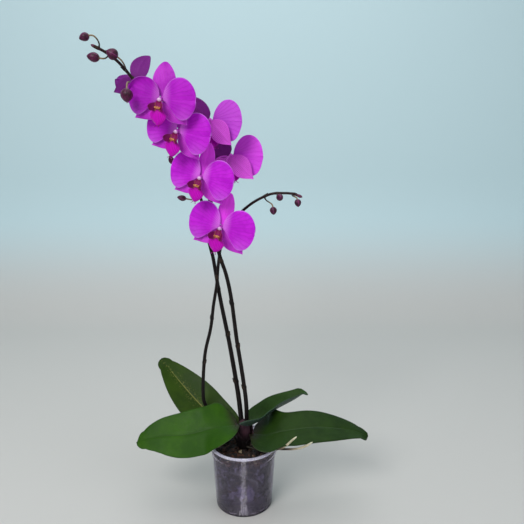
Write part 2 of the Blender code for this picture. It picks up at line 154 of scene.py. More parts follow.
def ring_faces(rings, sides):
    """Quads between each closed ring of corners and the next."""
    i, j = np.meshgrid(np.arange(rings - 1), np.arange(sides), indexing="ij")
    k = (j + 1) % sides
    return np.stack([i * sides + j, i * sides + k, (i + 1) * sides + k, (i + 1) * sides + j],
                    -1).reshape(-1, 4).tolist()


def closed_faces(rings, sides):
    """The quads, and a fan at each end to a point: the two corners after the rings."""
    j = np.arange(sides)
    k = (j + 1) % sides
    first, last, end = rings * sides, rings * sides + 1, (rings - 1) * sides
    fans = np.vstack([np.stack([np.full(sides, first), k, j], 1),
                      np.stack([np.full(sides, last), end + j, end + k], 1)])
    return ring_faces(rings, sides) + fans.tolist()


def carried(path, radii, sides, section=None):
    """Rings of a round section carried along a path, each end closed by a middle point.
    section(angle, along) gives the ring's radius as a share of the plain one."""
    ahead, right, up = axes_along(path)
    rows = len(path)
    angle = np.linspace(0, 2 * np.pi, sides, endpoint=False)[None, :]
    along = np.linspace(0, 1, rows)[:, None]
    reach = radii[:, None] * (section(angle, along) if section else np.ones((rows, sides)))
    ring = path[:, None] + reach[..., None] * (
        right[:, None] * np.cos(angle)[..., None] + up[:, None] * np.sin(angle)[..., None])
    verts = np.vstack([ring.reshape(-1, 3), path[:1], path[-1:]])
    values = {"along": np.concatenate([np.repeat(along[:, 0], sides), [0, 1]]),
              "across": np.concatenate([np.tile(angle[0] / np.pi - 1, rows), [0, 0]])}
    return verts, closed_faces(rows, sides), values


def marked(part, **marks):
    """The part, with the same number on all its corners for each mark."""
    for key, mark in marks.items():
        part[2][key] = np.full(len(part[0]), float(mark))
    return part


def joined(parts):
    """Several (verts, faces, values) sets laid into one."""
    verts, faces, values, shift = [], [], {}, 0
    for part_verts, part_faces, part_values in parts:
        verts.append(part_verts)
        faces += [[corner + shift for corner in face] for face in part_faces]
        for key, numbers in part_values.items():
            values.setdefault(key, []).append(np.ravel(numbers))
        shift += len(part_verts)
    return np.vstack(verts), faces, {key: np.concatenate(rows) for key, rows in values.items()}


def settle(piece, slot, *nodes):
    """Fixes a piece to the plant and hides the solids it stands for. The slot is not used."""
    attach(piece, "root")
    if nodes:
        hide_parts(*nodes)
    return piece


def add(tree, kind, feeds=None, **settings):
    """A node with its settings, each input fed by a socket or set to a value."""
    made = tree.nodes.new(kind)
    for key, value in settings.items():
        setattr(made, key, value)
    for key, value in (feeds or {}).items():
        if isinstance(value, bpy.types.NodeSocket):
            tree.links.new(value, made.inputs[key])
        else:
            made.inputs[key].default_value = value
    return made


def maths(tree, operation, *values):
    """One step of arithmetic on sockets or plain numbers."""
    return add(tree, "ShaderNodeMath", dict(enumerate(values)), operation=operation).outputs[0]


def ramp(tree, value, low, high, to_low=0.0, to_high=1.0):
    """Eased step: to_low below low, to_high above high."""
    return add(tree, "ShaderNodeMapRange", {0: value, 1: low, 2: high, 3: to_low, 4: to_high},
               interpolation_type="SMOOTHSTEP").outputs[0]


def blend(tree, share, first, second):
    """The first colour where the share is 0, the second where it is 1."""
    feeds = {0: share}
    for slot, colour in ((6, first), (7, second)):
        feeds[slot] = colour if isinstance(colour, bpy.types.NodeSocket) else (*colour, 1)
    return add(tree, "ShaderNodeMix", feeds, data_type="RGBA").outputs[2]


def attribute(tree, name):
    """The piece's own value of that name, such as along, across or edge."""
    return add(tree, "ShaderNodeAttribute", attribute_name=name).outputs["Fac"]


def group(name, inputs, outputs):
    """An empty node group whose inputs and outputs are all plain values."""
    tree = bpy.data.node_groups.new(name, "ShaderNodeTree")
    for key, default in inputs.items():
        tree.interface.new_socket(key, in_out="INPUT",
                                  socket_type="NodeSocketFloat").default_value = default
    for key in outputs:
        tree.interface.new_socket(key, in_out="OUTPUT", socket_type="NodeSocketFloat")
    return tree, tree.nodes.new("NodeGroupInput").outputs, tree.nodes.new("NodeGroupOutput")


mottle_tree, mottle_in, mottle_out = group(
    "Mottle", {"Scale": 60.0, "Detail": 4.0, "Low": .35, "High": .65}, ["Patches", "Fine"])
where = add(mottle_tree, "ShaderNodeTexCoord").outputs["Object"]
patches = add(mottle_tree, "ShaderNodeTexNoise",
              {"Vector": where, "Scale": mottle_in["Scale"], "Detail": mottle_in["Detail"],
               "Roughness": .6}).outputs["Fac"]
fine_scale = maths(mottle_tree, "MULTIPLY", mottle_in["Scale"], 14.0)
fine = add(mottle_tree, "ShaderNodeTexNoise",
           {"Vector": where, "Scale": fine_scale, "Detail": 2.0}).outputs["Fac"]
mottle_tree.links.new(ramp(mottle_tree, patches, mottle_in["Low"], mottle_in["High"]),
                      mottle_out.inputs["Patches"])
mottle_tree.links.new(fine, mottle_out.inputs["Fine"])


def mottled(tree, scale, low=.35, high=.65, detail=4.0):
    """Soft patches and a fine grain over the piece's own coordinates."""
    made = add(tree, "ShaderNodeGroup", node_tree=mottle_tree)
    for key, value in (("Scale", scale), ("Low", low), ("High", high), ("Detail", detail)):
        made.inputs[key].default_value = value
    return made.outputs["Patches"], made.outputs["Fine"]


veins_tree, veins_in, veins_out = group(
    "Veins", {"Across": 0.0, "Along": 0.0, "Count": 8.0, "Wander": .05, "Width": .3},
    ["Lines", "Threads"])
flat_place = add(veins_tree, "ShaderNodeCombineXYZ",
                 {0: maths(veins_tree, "MULTIPLY", veins_in["Across"], 2.2),
                  1: maths(veins_tree, "MULTIPLY", veins_in["Along"], 5.0)}).outputs[0]
drift = add(veins_tree, "ShaderNodeTexNoise",
            {"Vector": flat_place, "Scale": 1.6, "Detail": 3.0}).outputs["Fac"]
drift = maths(veins_tree, "MULTIPLY", maths(veins_tree, "SUBTRACT", drift, .5),
              veins_in["Wander"])
shifted = maths(veins_tree, "ADD", veins_in["Across"], drift)


def stripe(count):
    """Soft-edged lines, so many to each unit across."""
    wave = maths(veins_tree, "PINGPONG", maths(veins_tree, "MULTIPLY", shifted, count), .5)
    return ramp(veins_tree, wave, 0.0, veins_in["Width"], 1.0, 0.0)


veins_tree.links.new(stripe(veins_in["Count"]), veins_out.inputs["Lines"])
veins_tree.links.new(stripe(maths(veins_tree, "MULTIPLY", veins_in["Count"], 3.0)),
                     veins_out.inputs["Threads"])


def veined(tree, count, wander=.08, width=.3):
    """Lines that run along a blade, a few strong ones and many threads between."""
    made = add(tree, "ShaderNodeGroup", node_tree=veins_tree)
    tree.links.new(attribute(tree, "across"), made.inputs["Across"])
    tree.links.new(attribute(tree, "along"), made.inputs["Along"])
    for key, value in (("Count", count), ("Wander", wander), ("Width", width)):
        made.inputs[key].default_value = value
    return made.outputs["Lines"], made.outputs["Threads"]


def new_finish(name, **shader_values):
    """A material with one Principled shader: itself, its node tree and the shader."""
    finish = bpy.data.materials.new(name)
    finish.use_nodes = True
    tree = finish.node_tree
    shader = tree.nodes["Principled BSDF"]
    for key, value in shader_values.items():
        shader.inputs[key.replace("_", " ")].default_value = value
    return finish, tree, shader


def relief(tree, shader, height, distance, strength):
    """Fine bumps: a height of 1 stands the distance above a height of 0."""
    bump = add(tree, "ShaderNodeBump", {"Height": height, "Distance": distance,
                                        "Strength": strength})
    tree.links.new(bump.outputs[0], shader.inputs["Normal"])


def coat(tree, shader, colour, grain, smoothest, roughest):
    """Colour, and a roughness that follows the grain between two values."""
    tree.links.new(colour, shader.inputs["Base Color"])
    tree.links.new(ramp(tree, grain, .3, .7, smoothest, roughest), shader.inputs["Roughness"])


def raised(tree, lines, share, ground):
    """A height with a share of another one, such as a skin's lines, laid on top."""
    return maths(tree, "ADD", maths(tree, "MULTIPLY", lines, share), ground)


column_finish, tree, shader = new_finish("Waxy column and stalk", Subsurface_Weight=.2,
                                         Subsurface_Radius=(.002, .001, .002))
along = attribute(tree, "along")
patches, grain = mottled(tree, 300)
stalk = blend(tree, patches, (.30, .055, .16), (.20, .10, .06))
ovary = blend(tree, ramp(tree, along, .30, .58), stalk, (.50, .05, .52))
cap = blend(tree, ramp(tree, along, .86, .96), ovary, (.84, .50, .80))
coat(tree, shader, cap, grain, .32, .48)
relief(tree, shader, raised(tree, veined(tree, 3)[0], .5, grain), .0003, .5)

COLUMN_LENGTH = .0095
STALK_RINGS, STALK_SIDES = 64, 20


def ribs(angle, along):
    """Six low ribs on the ovary, most of all a little past half way."""
    return 1 + .07 * np.cos(6 * angle) * np.exp(-((along - .55) / .2) ** 2)


flowers = {}            # number: middle of the bloom; its right, top and face; half width
for number in range(1, 8):
    line = centre_line(f"flower_{number}_column", thick_first=False)[0]
    middle, near, tip = line[-3], line[-2] - line[-3], line[-1] - line[-3]
    top = near / .6 - tip
    top /= np.linalg.norm(top)
    face = tip + .22 * COLUMN_LENGTH * top
    face /= np.linalg.norm(face)
    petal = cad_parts[f"flower_{number}_petal_right"].data
    points = np.empty(len(petal.vertices) * 3)
    petal.vertices.foreach_get("co", points)
    half = np.linalg.norm(points.reshape(-1, 3) - middle, axis=1).max()
    flowers[number] = (middle, np.stack([np.cross(top, face), top, face]), half)
    stalk_path = smooth(line[:-2], 40)
    nose = [middle + face * COLUMN_LENGTH * k - top * COLUMN_LENGTH * .34 * k * k
            for k in (.3, .55, .8, .97, 1.04)]
    path = smooth(np.vstack([stalk_path[::5], nose]), STALK_RINGS)
    share = np.linspace(0, 1, STALK_RINGS)
    at_middle = np.linalg.norm(path - middle, axis=1).argmin() / (STALK_RINGS - 1)
    bend = share / at_middle
    radii = np.interp(bend, [0, .05, .6, .93, 1], [.0016, .0011, .0012, .0019, .0019])
    beyond = np.clip((share - at_middle) / (1 - at_middle), 0, 1)
    head = np.interp(beyond, [0, .25, .6, .85, .95, 1],
                     [.0019, .0021, .0027, .0029, .0022, .0007])
    radii = np.where(beyond > 0, head, radii)
    verts, faces, values = carried(path, radii, STALK_SIDES, ribs)
    rows = np.minimum(np.arange(len(verts)) // STALK_SIDES, STALK_RINGS - 1)
    values["along"] = np.where(share[rows] < at_middle, share[rows] / at_middle * .7,
                               .7 + .3 * beyond[rows])
    settle(make_piece(f"flower_{number}_stalk", column_finish, verts, faces, values),
           "column", f"flower_{number}_column")

# ---------------------------------------------------------------------------
# Petals. Two broad fans to a bloom, each on a narrow claw beside the column, in
# front of the sepals: thin, cupped, with fine veins and a waved margin that is paler
# with painted rim light.


def blade(points, thickness, flip, values):
    """A closed leaf of living tissue: the surface is moved half its thickness each way
    along its normal, and a rim joins the two skins. The front skin carries front = 1."""
    rows, cols = points.shape[:2]
    up = np.cross(np.gradient(points, axis=0), np.gradient(points, axis=1))
    if flip:
        up = -up
    up /= np.linalg.norm(up, axis=2)[..., None] + 1e-12
    lift = up * (np.broadcast_to(thickness, (rows, cols)) / 2)[..., None]
    verts = np.vstack([(points + lift).reshape(-1, 3), (points - lift).reshape(-1, 3)])
    i, j = np.meshgrid(np.arange(rows - 1), np.arange(cols - 1), indexing="ij")
    quads = np.stack([i * cols + j, (i + 1) * cols + j, (i + 1) * cols + j + 1,
                      i * cols + j + 1], -1).reshape(-1, 4)
    spots = np.arange(rows * cols).reshape(rows, cols)
    rim = np.concatenate([spots[0, :-1], spots[:-1, -1], spots[-1, :0:-1], spots[:0:-1, 0]])
    after = np.roll(rim, -1)
    wall = np.stack([rim, after, after + rows * cols, rim + rows * cols], 1)
    faces = np.vstack([quads, quads[:, ::-1] + rows * cols, wall])
    if flip:
        faces = faces[:, ::-1]
    laid = {key: np.tile(np.broadcast_to(grid, (rows, cols)).ravel(), 2)
            for key, grid in values.items()}
    laid["front"] = np.repeat([1.0, 0.0], rows * cols)
    return verts, faces.tolist(), laid


COLUMN_FOOT = .0029


def placed(number, local, shut):
    """Flower coordinates (right, top, out, in shares of half its width) to the plant's.
    A bloom that is still opening has its blades bent forward about the column's foot."""
    middle, axes, half = flowers[number]
    local = local * half
    reach = np.hypot(local[..., 0], local[..., 1]) + 1e-9
    foot = np.minimum(reach, COLUMN_FOOT)
    beyond = reach - foot
    folded = foot + beyond * np.cos(shut) - (
        local[..., 2] * np.sin(shut) * np.minimum(1, beyond / foot / 2))
    out = local[..., 2] + beyond * np.sin(shut)
    flat = local[..., :2] * (folded / reach)[..., None]
    return middle + np.concatenate([flat, out[..., None]], -1) @ axes


# Painted light pales a blade towards the first colour; painted shade takes its deep colour down to
# the second share.
PAINTED_LIGHT_COLOUR, PAINTED_SHADE_SCALE = (1.0, .075, 1.0), .26


def tissue(name, claw, body, deep, margin, back, vein, count, margin_share, back_veins,
           painted_highlight_below):
    """Petal tissue: colour from claw to margin, veins and another colour behind. The
    depth value lays painted shade over a whole blade at 1 and painted light at -1."""
    finish, tree, shader = new_finish(
        name, Subsurface_Weight=.25, Subsurface_Radius=(.0035, .0012, .0035),
        Specular_IOR_Level=.15)
    along, edge = attribute(tree, "along"), attribute(tree, "edge")
    lines, threads = veined(tree, count)
    patches, grain = mottled(tree, 55)
    colour = blend(tree, patches, body, deep)
    colour = blend(tree, ramp(tree, along, .03, .30), claw, colour)
    # Painted highlight: the lower half of a blade pales towards the margin colour.
    below = maths(tree, "MULTIPLY", ramp(tree, along, .25, .75),
                  ramp(tree, attribute(tree, "across"), -.05, -.80, 0, painted_highlight_below))
    colour = blend(tree, below, colour, margin)
    line_share = maths(tree, "ADD", maths(tree, "MULTIPLY", lines, .27),
                       maths(tree, "MULTIPLY", threads, .20))
    fade = maths(tree, "SUBTRACT", 1.0, ramp(tree, edge, .5, 1.0, 0.0, .8))
    colour = blend(tree, maths(tree, "MULTIPLY", line_share, fade), colour, vein)
    # Painted rim light: the margin pales towards the margin colour.
    colour = blend(tree, ramp(tree, edge, .80, 1.0, 0.0, margin_share), colour, margin)
    behind = blend(tree, maths(tree, "MULTIPLY", line_share, back_veins), back, vein)
    colour = blend(tree, attribute(tree, "front"), behind, colour)
    # Painted light where depth is below 0, painted shade where it is above 0.
    colour = blend(tree, ramp(tree, attribute(tree, "depth"), 0, -1), colour, PAINTED_LIGHT_COLOUR)
    colour = blend(tree, attribute(tree, "depth"), colour,
                   tuple(channel * PAINTED_SHADE_SCALE for channel in deep))
    coat(tree, shader, colour, grain, .42, .58)
    height = maths(tree, "ADD", maths(tree, "MULTIPLY", line_share, 1.6),
                   maths(tree, "MULTIPLY", grain, .35))
    relief(tree, shader, height, .0004, .55)
    return finish


petal_finish = tissue(
    "Petal", claw=(.82, .18, .90), body=(.64, .014, .76), deep=(.53, .006, .66),
    margin=(.74, .30, .90), back=(.62, .095, .74), vein=(.36, .002, .44), count=9,
    margin_share=.55, back_veins=.9, painted_highlight_below=.45)

# Blooms 1 to 5 are counted down the front, and 6 and 7 face sideways behind them. A
# petal is (bloom, 1 for right or -1 for left).
SHUT = {1: math.radians(58)}                         # a bloom that is still opening
BLOOM_SHADE = {1: .94, 2: .24, 3: .10, 4: .0, 5: .04, 6: .0, 7: .0}        # painted shade over a whole bloom, 1 darkest
SHADED = {(6, 1): .88, (7, 1): .88, (7, -1): -.42,   # petals with their own painted shade (above 0) and painted light (below 0)
          (6, -1): -.12, (2, -1): .36}
ROLLED = {(2, -1): .8, (1, 1): .5}                   # upper margin rolled forward
PETAL_TILT = 4                                       # degrees that a petal points upwards
DROP = {6: 10, 7: 8}                                 # degrees less, on two blooms
UPPER_HALF, LOWER_HALF = .58, .56                    # shares of half the bloom's width
CLAW = .0025                                         # start of a petal, from the middle
PETAL_MIDDLE, PETAL_MARGIN = .0009, .0004            # thickness


def petal_side(s, widest, height, power):
    """Half height of a petal at a share s of its length: a quarter sine out to the
    widest place, then a quarter ellipse to the tip."""
    rise = height * np.sin(np.pi / 2 * np.clip(s / widest, 0, 1) ** power)
    fall = height * np.sqrt(np.clip(1 - ((s - widest) / (1 - widest)) ** 2, 0, 1))
    return np.where(s < widest, rise + .05 * (1 - s / widest) ** 2, fall)


def petal_surface(number, hand, seed):
    """The fan: length along x, height along y. The depth cups forward, then bends back,
    with a shallow fold along the middle and a slow wave that grows to the margin."""
    dice = np.random.default_rng(seed)
    v = np.linspace(0, 1, 46)[:, None]
    u = np.linspace(-1, 1, 45)[None, :]
    s = np.sin(v * np.pi / 2 * .965) / np.sin(np.pi / 2 * .965) * .9985     # closer at the tip
    high = np.where(u > 0, petal_side(s, .52, UPPER_HALF, .66),
                    petal_side(s, .60, LOWER_HALF, 1.40))
    claw = CLAW / flowers[number][2]
    tilt = math.radians(PETAL_TILT - DROP.get(number, 0))
    x, y = claw + (1 - claw) * s, high * u + 0 * s
    phase = dice.uniform(0, 6.3, 3)
    depth = .025 + .10 * s - .13 * s * s - .03 * u * u * s
    depth = depth + .012 * s * (1 - np.exp(-(u / .10) ** 2))
    depth = depth + .013 * s ** 2 * np.sin(4.2 * u + phase[0]) * (.4 + abs(u))
    depth = depth + .010 * abs(u) ** 3 * s * np.sin(9 * s + 3 * u + phase[1])
    depth = depth + .008 * s ** 6 * np.sin(7 * u + phase[2])
    roll = ROLLED.get((number, hand), 0) * np.clip((u - .35) / .65, 0, 1) ** 2 * s ** .5
    y, depth = y * (1 - .30 * roll), depth + .16 * roll + .02 * roll * np.sin(11 * s)
    place = np.stack([hand * (x * math.cos(tilt) - y * math.sin(tilt)),
                      x * math.sin(tilt) + y * math.cos(tilt), depth], -1)
    edge = np.maximum(abs(u) ** 3 + 0 * s, s ** 7 + 0 * u)
    thin = PETAL_MIDDLE + (PETAL_MARGIN - PETAL_MIDDLE) * edge
    points = placed(number, place, SHUT.get(number, 0))
    fan = np.arctan2(y, x + .10) / 1.25
    # The depth value is the blade's painted shade (above 0) and painted light (below 0).
    return blade(points, thin, hand < 0, {"along": s + 0 * u, "across": fan, "edge": edge,
                                          "depth": SHADED.get((number, hand), BLOOM_SHADE[number])})


for number in flowers:
    for side, hand in (("right", 1), ("left", -1)):
        settle(make_piece(f"flower_{number}_{side}_petal", petal_finish,
                          *petal_surface(number, hand, 10 * number + hand)),
               "petal", f"flower_{number}_petal_{side}")

# ---------------------------------------------------------------------------
# Sepals. Three pointed ovals behind the petals, one up and two down and outwards,
# thicker than the petals and paler behind, grown from one ring round the stalk.

sepal_finish = tissue(
    "Sepal", claw=(.62, .06, .74), body=(.74, .070, .84), deep=(.58, .030, .70),
    margin=(.84, .36, .94), back=(.90, .17, .96), vein=(.50, .006, .34), count=7,
    margin_share=.5, back_veins=2.0, painted_highlight_below=0)
TURNED = {6: (48, 8), 7: (44, 6)}        # degrees that upper and lower sepals are turned
UPPER_SHUT = {1: .5 * SHUT[1]}
UPPER_WIDTH = {1: .26, 2: .33, 3: .27, 4: .23, 5: .22, 6: .30, 7: .30}
# Upper sepals with their own painted shade (above 0) and painted light (below 0).
UPPER_LIGHT_AND_SHADE = {3: -.2, 4: -.55, 5: -.72, 6: .92, 7: .92}
UPPER_CURL = {1: .16}
# The third value is painted light: the lower sepals take that much less of their bloom's painted
# shade.
LOWER_WIDTH, LOWER_POINT, LOWER_PAINTED_LIGHT = .30, .55, .22
LOWER_ANGLE = 39                         # degrees that the lower sepals point down
SEPAL_MIDDLE, SEPAL_MARGIN = .0011, .0006
SEPAL_FOOT = .0027                       # start of a sepal, from the middle
RING_STEP = .0035                        # how far behind the middle the ring stands
RING_RADII = (.0032, .0036, .0038, .0038, .0036, .003)


def sepal_surface(number, angle, half_width, point, seed, shut, deep, curl=0):
    """An oval blade along one direction: width follows a sine, drawn to a point, with
    a groove along the middle, margins that roll back and a tip that may curl."""
    dice = np.random.default_rng(seed)
    half = flowers[number][2]
    v = np.linspace(0, 1, 38)[:, None]
    u = np.linspace(-1, 1, 25)[None, :]
    s = np.sin(v * np.pi / 2 * .93) / np.sin(np.pi / 2 * .93) * .997        # closer at the tip
    oval = np.sin(np.pi * s ** .92) ** (.52 + .28 * (point > .3))
    wide = half_width * oval * (1 - point * s ** 5) + .045 * (1 - s) ** 2
    foot = SEPAL_FOOT / half
    out = foot + (.985 - foot) * s
    phase = dice.uniform(0, 6.3, 2)
    sway = .015 * np.sin(3 * s + phase[0]) * s
    depth = -.055 - .05 * out ** 2 - .035 * u * u * np.sin(np.pi * s) ** .5
    depth = depth - .010 * np.exp(-(u / .16) ** 2) * np.sin(np.pi * s)
    depth = depth + .012 * np.sin(5 * s + 2.5 * u + phase[1]) * s * abs(u)
    across = wide * u + sway + curl * s ** 4
    theta = math.radians(angle)
    place = np.stack([out * math.cos(theta) - across * math.sin(theta),
                      out * math.sin(theta) + across * math.cos(theta),
                      depth - .25 * abs(curl) * s ** 4], -1)
    edge = np.maximum(abs(u) ** 3 + 0 * s, s ** 9 + 0 * u)
    thin = SEPAL_MIDDLE + (SEPAL_MARGIN - SEPAL_MIDDLE) * edge
    return blade(placed(number, place, shut), thin, False,
                 {"along": s + 0 * u, "across": u + 0 * s, "edge": edge, "depth": deep})


for number in flowers:
    upper, lower = TURNED.get(number, (0, 0))
    # The bloom's painted shade goes to its sepals and to their ring.
    deep = BLOOM_SHADE[number]
    made = [sepal_surface(number, 90 - upper, UPPER_WIDTH[number], .1, 50 * number,
                          UPPER_SHUT.get(number, 0), UPPER_LIGHT_AND_SHADE.get(number, deep),
                          UPPER_CURL.get(number, 0))]
    for count, angle in ((1, -LOWER_ANGLE - lower), (2, 180 + LOWER_ANGLE + lower)):
        made.append(sepal_surface(number, angle, LOWER_WIDTH, LOWER_POINT, 50 * number + count,
                                  SHUT.get(number, 0),
                                  deep - LOWER_PAINTED_LIGHT if deep < .5 else deep))
    ring_path = smooth([flowers[number][0] - flowers[number][1][2] * RING_STEP * k
                        for k in (1.05, .8, .6)], len(RING_RADII))
    made.append(marked(carried(ring_path, np.array(RING_RADII), 20),
                       edge=0, front=0, depth=deep))
    settle(make_piece(f"flower_{number}_three_sepals", sepal_finish, *joined(made)),
           "sepal", f"flower_{number}_sepals")

# ---------------------------------------------------------------------------
# Lips. Below the column, each a narrow tongue with two upright side lobes, a
# speckled tan callus between them, a keeled middle lobe and two fine tendrils.

lip_finish, tree, shader = new_finish("Lip", Subsurface_Weight=.12, Specular_IOR_Level=.15,
                                      Subsurface_Radius=(.002, .001, .002))
along, across, edge = (attribute(tree, key) for key in ("along", "across", "edge"))
lobe, knob = attribute(tree, "lobe"), attribute(tree, "knob")
lines = veined(tree, 5, width=.34)[0]
patches, grain = mottled(tree, 900, .46, .56, 2.0)
tongue = blend(tree, ramp(tree, along, .15, .60), (.24, .002, .08), (.62, .001, .56))
tongue = blend(tree, maths(tree, "MULTIPLY", lines, .5), tongue, (.22, .002, .14))
wing = blend(tree, ramp(tree, along, .0, .25), (.50, .14, .08), (.19, .002, .10))
wing = blend(tree, maths(tree, "MULTIPLY", lines, .6), wing, (.10, .001, .05))
colour = blend(tree, lobe, tongue, wing)
spots = blend(tree, patches, (.72, .36, .13), (.30, .01, .03))
colour = blend(tree, knob, colour, spots)
colour = blend(tree, ramp(tree, edge, .8, 1, 0, .25), colour, (.70, .08, .66))
coat(tree, shader, colour, grain, .28, .42)
relief(tree, shader, raised(tree, lines, .6, grain), .0003, .5)
TONGUE_THICK, WING_THICK = .0012, .0009
TENDRIL_THICK, TENDRIL_TIP = .0005, .0002


def lip_parts(number):
    """The lip in shares of half the bloom's width. The tongue's half width is a drawn
    curve of its length v. The side lobes rise as the root of 1 - v ** 2.4, the tendrils
    bend as a sine, and the callus is an oval ball with low lumps."""
    shut = SHUT.get(number, 0) * .5
    v = np.linspace(0, 1, 30)[:, None]
    u = np.linspace(-1, 1, 19)[None, :]

    def laid(x, y, z, thick, flip, kind):
        """One blade of the lip, from its three coordinates on the grid."""
        points = placed(number, np.stack(np.broadcast_arrays(x, y, z), -1), shut)
        edge = np.maximum(abs(u) ** 4 + 0 * v, v ** 8 + 0 * u)
        return blade(points, thick, flip, {"along": v + 0 * u, "across": u + 0 * v,
                                           "edge": edge, "lobe": kind, "knob": 0.0})

    shield = np.interp(v, [0, .12, .3, .48, .6, .75, .9, 1],
                       [.075, .09, .09, .19, .245, .21, .12, .03])
    y = -.075 - .66 * (.9 * v + .1 * v * v)
    z = (.10 + .34 * v - .30 * v * v - .07 * u * u * np.clip(v * 3 - .9, 0, 1)
         + .05 * u * u * np.clip(1 - v * 2.5, 0, 1) + .012 * np.exp(-(u / .12) ** 2) * v)
    made = [laid(shield * u, y, z, TONGUE_THICK, False, 0.0)]
    for hand in (1, -1):
        rise = np.sqrt(np.clip(1 - v ** 2.4, 0, 1)) * .10 + .012
        wing_x = hand * (.055 + .27 * v - .12 * v * v + .012 * u)
        wing_y = -.235 - .05 * v + rise * u
        wing_z = .165 + .26 * v - .04 * v * v + .03 * u * v - .02 * (1 - v) * u
        made.append(laid(wing_x, wing_y, wing_z, WING_THICK, hand < 0, 1.0))
        curl = np.linspace(0, 1, 14)
        tendril = np.stack([hand * (.015 + .05 * curl + .03 * np.sin(4 * curl)),
                            -.728 - .06 * np.sin(2.6 * curl), .135 + .10 * curl ** 2], -1)
        thin = TENDRIL_THICK + (TENDRIL_TIP - TENDRIL_THICK) * curl
        made.append(marked(carried(placed(number, tendril, shut), thin, 8),
                           edge=0, front=1, lobe=0, knob=0))
    rings, sides = 18, 24
    down = np.linspace(.02, np.pi - .02, rings)[:, None]
    turn = np.linspace(0, 2 * np.pi, sides, endpoint=False)[None, :]
    puff = 1 + .30 * np.cos(2 * turn) * np.sin(down) + .14 * np.cos(5 * turn + 3 * down)
    ball = np.stack([.075 * np.sin(down) * np.cos(turn) * puff,
                     -.265 + .050 * np.sin(down) * np.sin(turn) * puff,
                     .225 + .045 * np.cos(down) + 0 * turn], -1)
    faces = [[a, d, c, b] for a, b, c, d in ring_faces(rings, sides)]
    faces += [list(range(sides)), list(range(rings * sides - 1, (rings - 1) * sides - 1, -1))]
    made.append(marked((placed(number, ball, shut).reshape(-1, 3), faces, {}),
                       along=0, across=0, edge=0, lobe=0, knob=1, front=1))
    return joined(made)


for number in flowers:
    settle(make_piece(f"flower_{number}_lip_lobes", lip_finish, *lip_parts(number)),
           "lip", f"flower_{number}_lip")

# ---------------------------------------------------------------------------
# Flower spikes. Three wiry stems, near black, that arch over under the blooms and end
# in a reddish growing tip. Every joint is a low ring with a small dry bract, and each
# stalk leaves from such a joint.

spike_finish, tree, shader = new_finish("Spike skin", Specular_IOR_Level=.16)
patches, grain = mottled(tree, 260)
along = attribute(tree, "along")
dark = blend(tree, patches, (.004, .003, .003), (.010, .006, .006))
lit = blend(tree, patches, (.016, .006, .009), (.030, .014, .012))
colour = blend(tree, ramp(tree, along, .55, .98), dark, lit)
colour = blend(tree, ramp(tree, along, .978, .992), colour, (.13, .03, .07))
colour = blend(tree, attribute(tree, "bract"), colour, (.035, .022, .014))
coat(tree, shader, colour, grain, .34, .5)
relief(tree, shader, grain, .0002, .4)

STALKS = {"spike_main": ["flower_1_column", "flower_2_column", "flower_3_column",
                         "flower_4_column", "flower_6_column", "flower_7_column",
                         "bud_1", "bud_2", "bud_3", "bud_4"],
          "spike_right": ["flower_5_column", "bud_5", "bud_6", "bud_7"],
          "spike_left": ["bud_8", "bud_9"]}
BARE_JOINTS = {"spike_main": (.10, .21, .32, .43, .52), "spike_right": (.14, .30, .45, .58),
               "spike_left": (.16, .34, .52, .70)}
BRACT_LENGTH, BRACT_THICK = .0075, .0004
SPIKE_ROOT = .010                        # length that goes down into the crown
FULLER, FULLER_ABOVE, JOINT_SWELL = 1.10, .30, .20        # radius, as shares of the solid's
JOINT_REACH = .0022                      # half the length of a joint's ring
TIP_SWELL, TIP_REACH = .0010, .004       # the growing tip: extra radius, length
SPIKE_RINGS, SPIKE_SIDES = 420, 16


def bract(path, radii, share, turn):
    """A small boat-shaped scale that clasps the stem: two fifths of a tube, pointed."""
    low = int(share * (len(path) - 1))
    ahead, side, up = (axis[low] for axis in axes_along(path))
    v = np.linspace(0, 1, 12)[:, None]
    u = np.linspace(-1, 1, 11)[None, :]
    angle = turn + 1.25 * u * np.sqrt(1 - v ** 2 * .97)
    reach = radii[low] * (1.08 + .16 * v ** 2)
    place = (path[low] + ahead * (v * BRACT_LENGTH + 0 * u)[..., None]
             + side * (reach * np.cos(angle))[..., None]
             + up * (reach * np.sin(angle))[..., None])
    return blade(place, BRACT_THICK, True, {"along": share, "across": u + 0 * v, "bract": .8})


for spike, stalks in STALKS.items():
    line, thick = centre_line(spike, thick_first=True)
    root = line[0] - (line[1] - line[0]) / np.linalg.norm(line[1] - line[0]) * SPIKE_ROOT
    line, thick = np.vstack([root, line]), np.append(thick[0], thick)
    laid = smooth(np.column_stack([line, thick]), SPIKE_RINGS)
    path, radii = laid[:, :3], laid[:, 3]
    share = np.linspace(0, 1, SPIKE_RINGS)
    joints = list(BARE_JOINTS[spike])
    for stalk in stalks:
        start = centre_line(stalk, thick_first=False)[0][0]
        joints.append(np.linalg.norm(path - start, axis=1).argmin() / (SPIKE_RINGS - 1))
    length = np.linalg.norm(np.diff(path, axis=0), axis=1).sum()
    swell = sum(np.exp(-((share - joint) * length / JOINT_REACH) ** 2) for joint in joints)
    radii = radii * (FULLER + FULLER_ABOVE * share ** 2 + JOINT_SWELL * np.minimum(swell, 1.2))
    radii += TIP_SWELL * np.exp(-((1 - share) * length / TIP_REACH - .6) ** 2)
    radii[-6:] *= np.sqrt(1 - np.linspace(.1, .98, 6) ** 2)
    made = [marked(carried(path, radii, SPIKE_SIDES), bract=0)]
    for count, joint in enumerate(joints):
        made.append(bract(path, radii, min(joint, .985), 2.4 * count + .6))
        made[-1][2].pop("front")
    settle(make_piece(f"{spike}_stem", spike_finish, *joined(made)), "spike", spike)

# ---------------------------------------------------------------------------
# Buds. Closed egg-shaped buds, each of three sepals folded edge to edge, so three
# shallow seams meet at the point. The stalk that carries each one is paler.

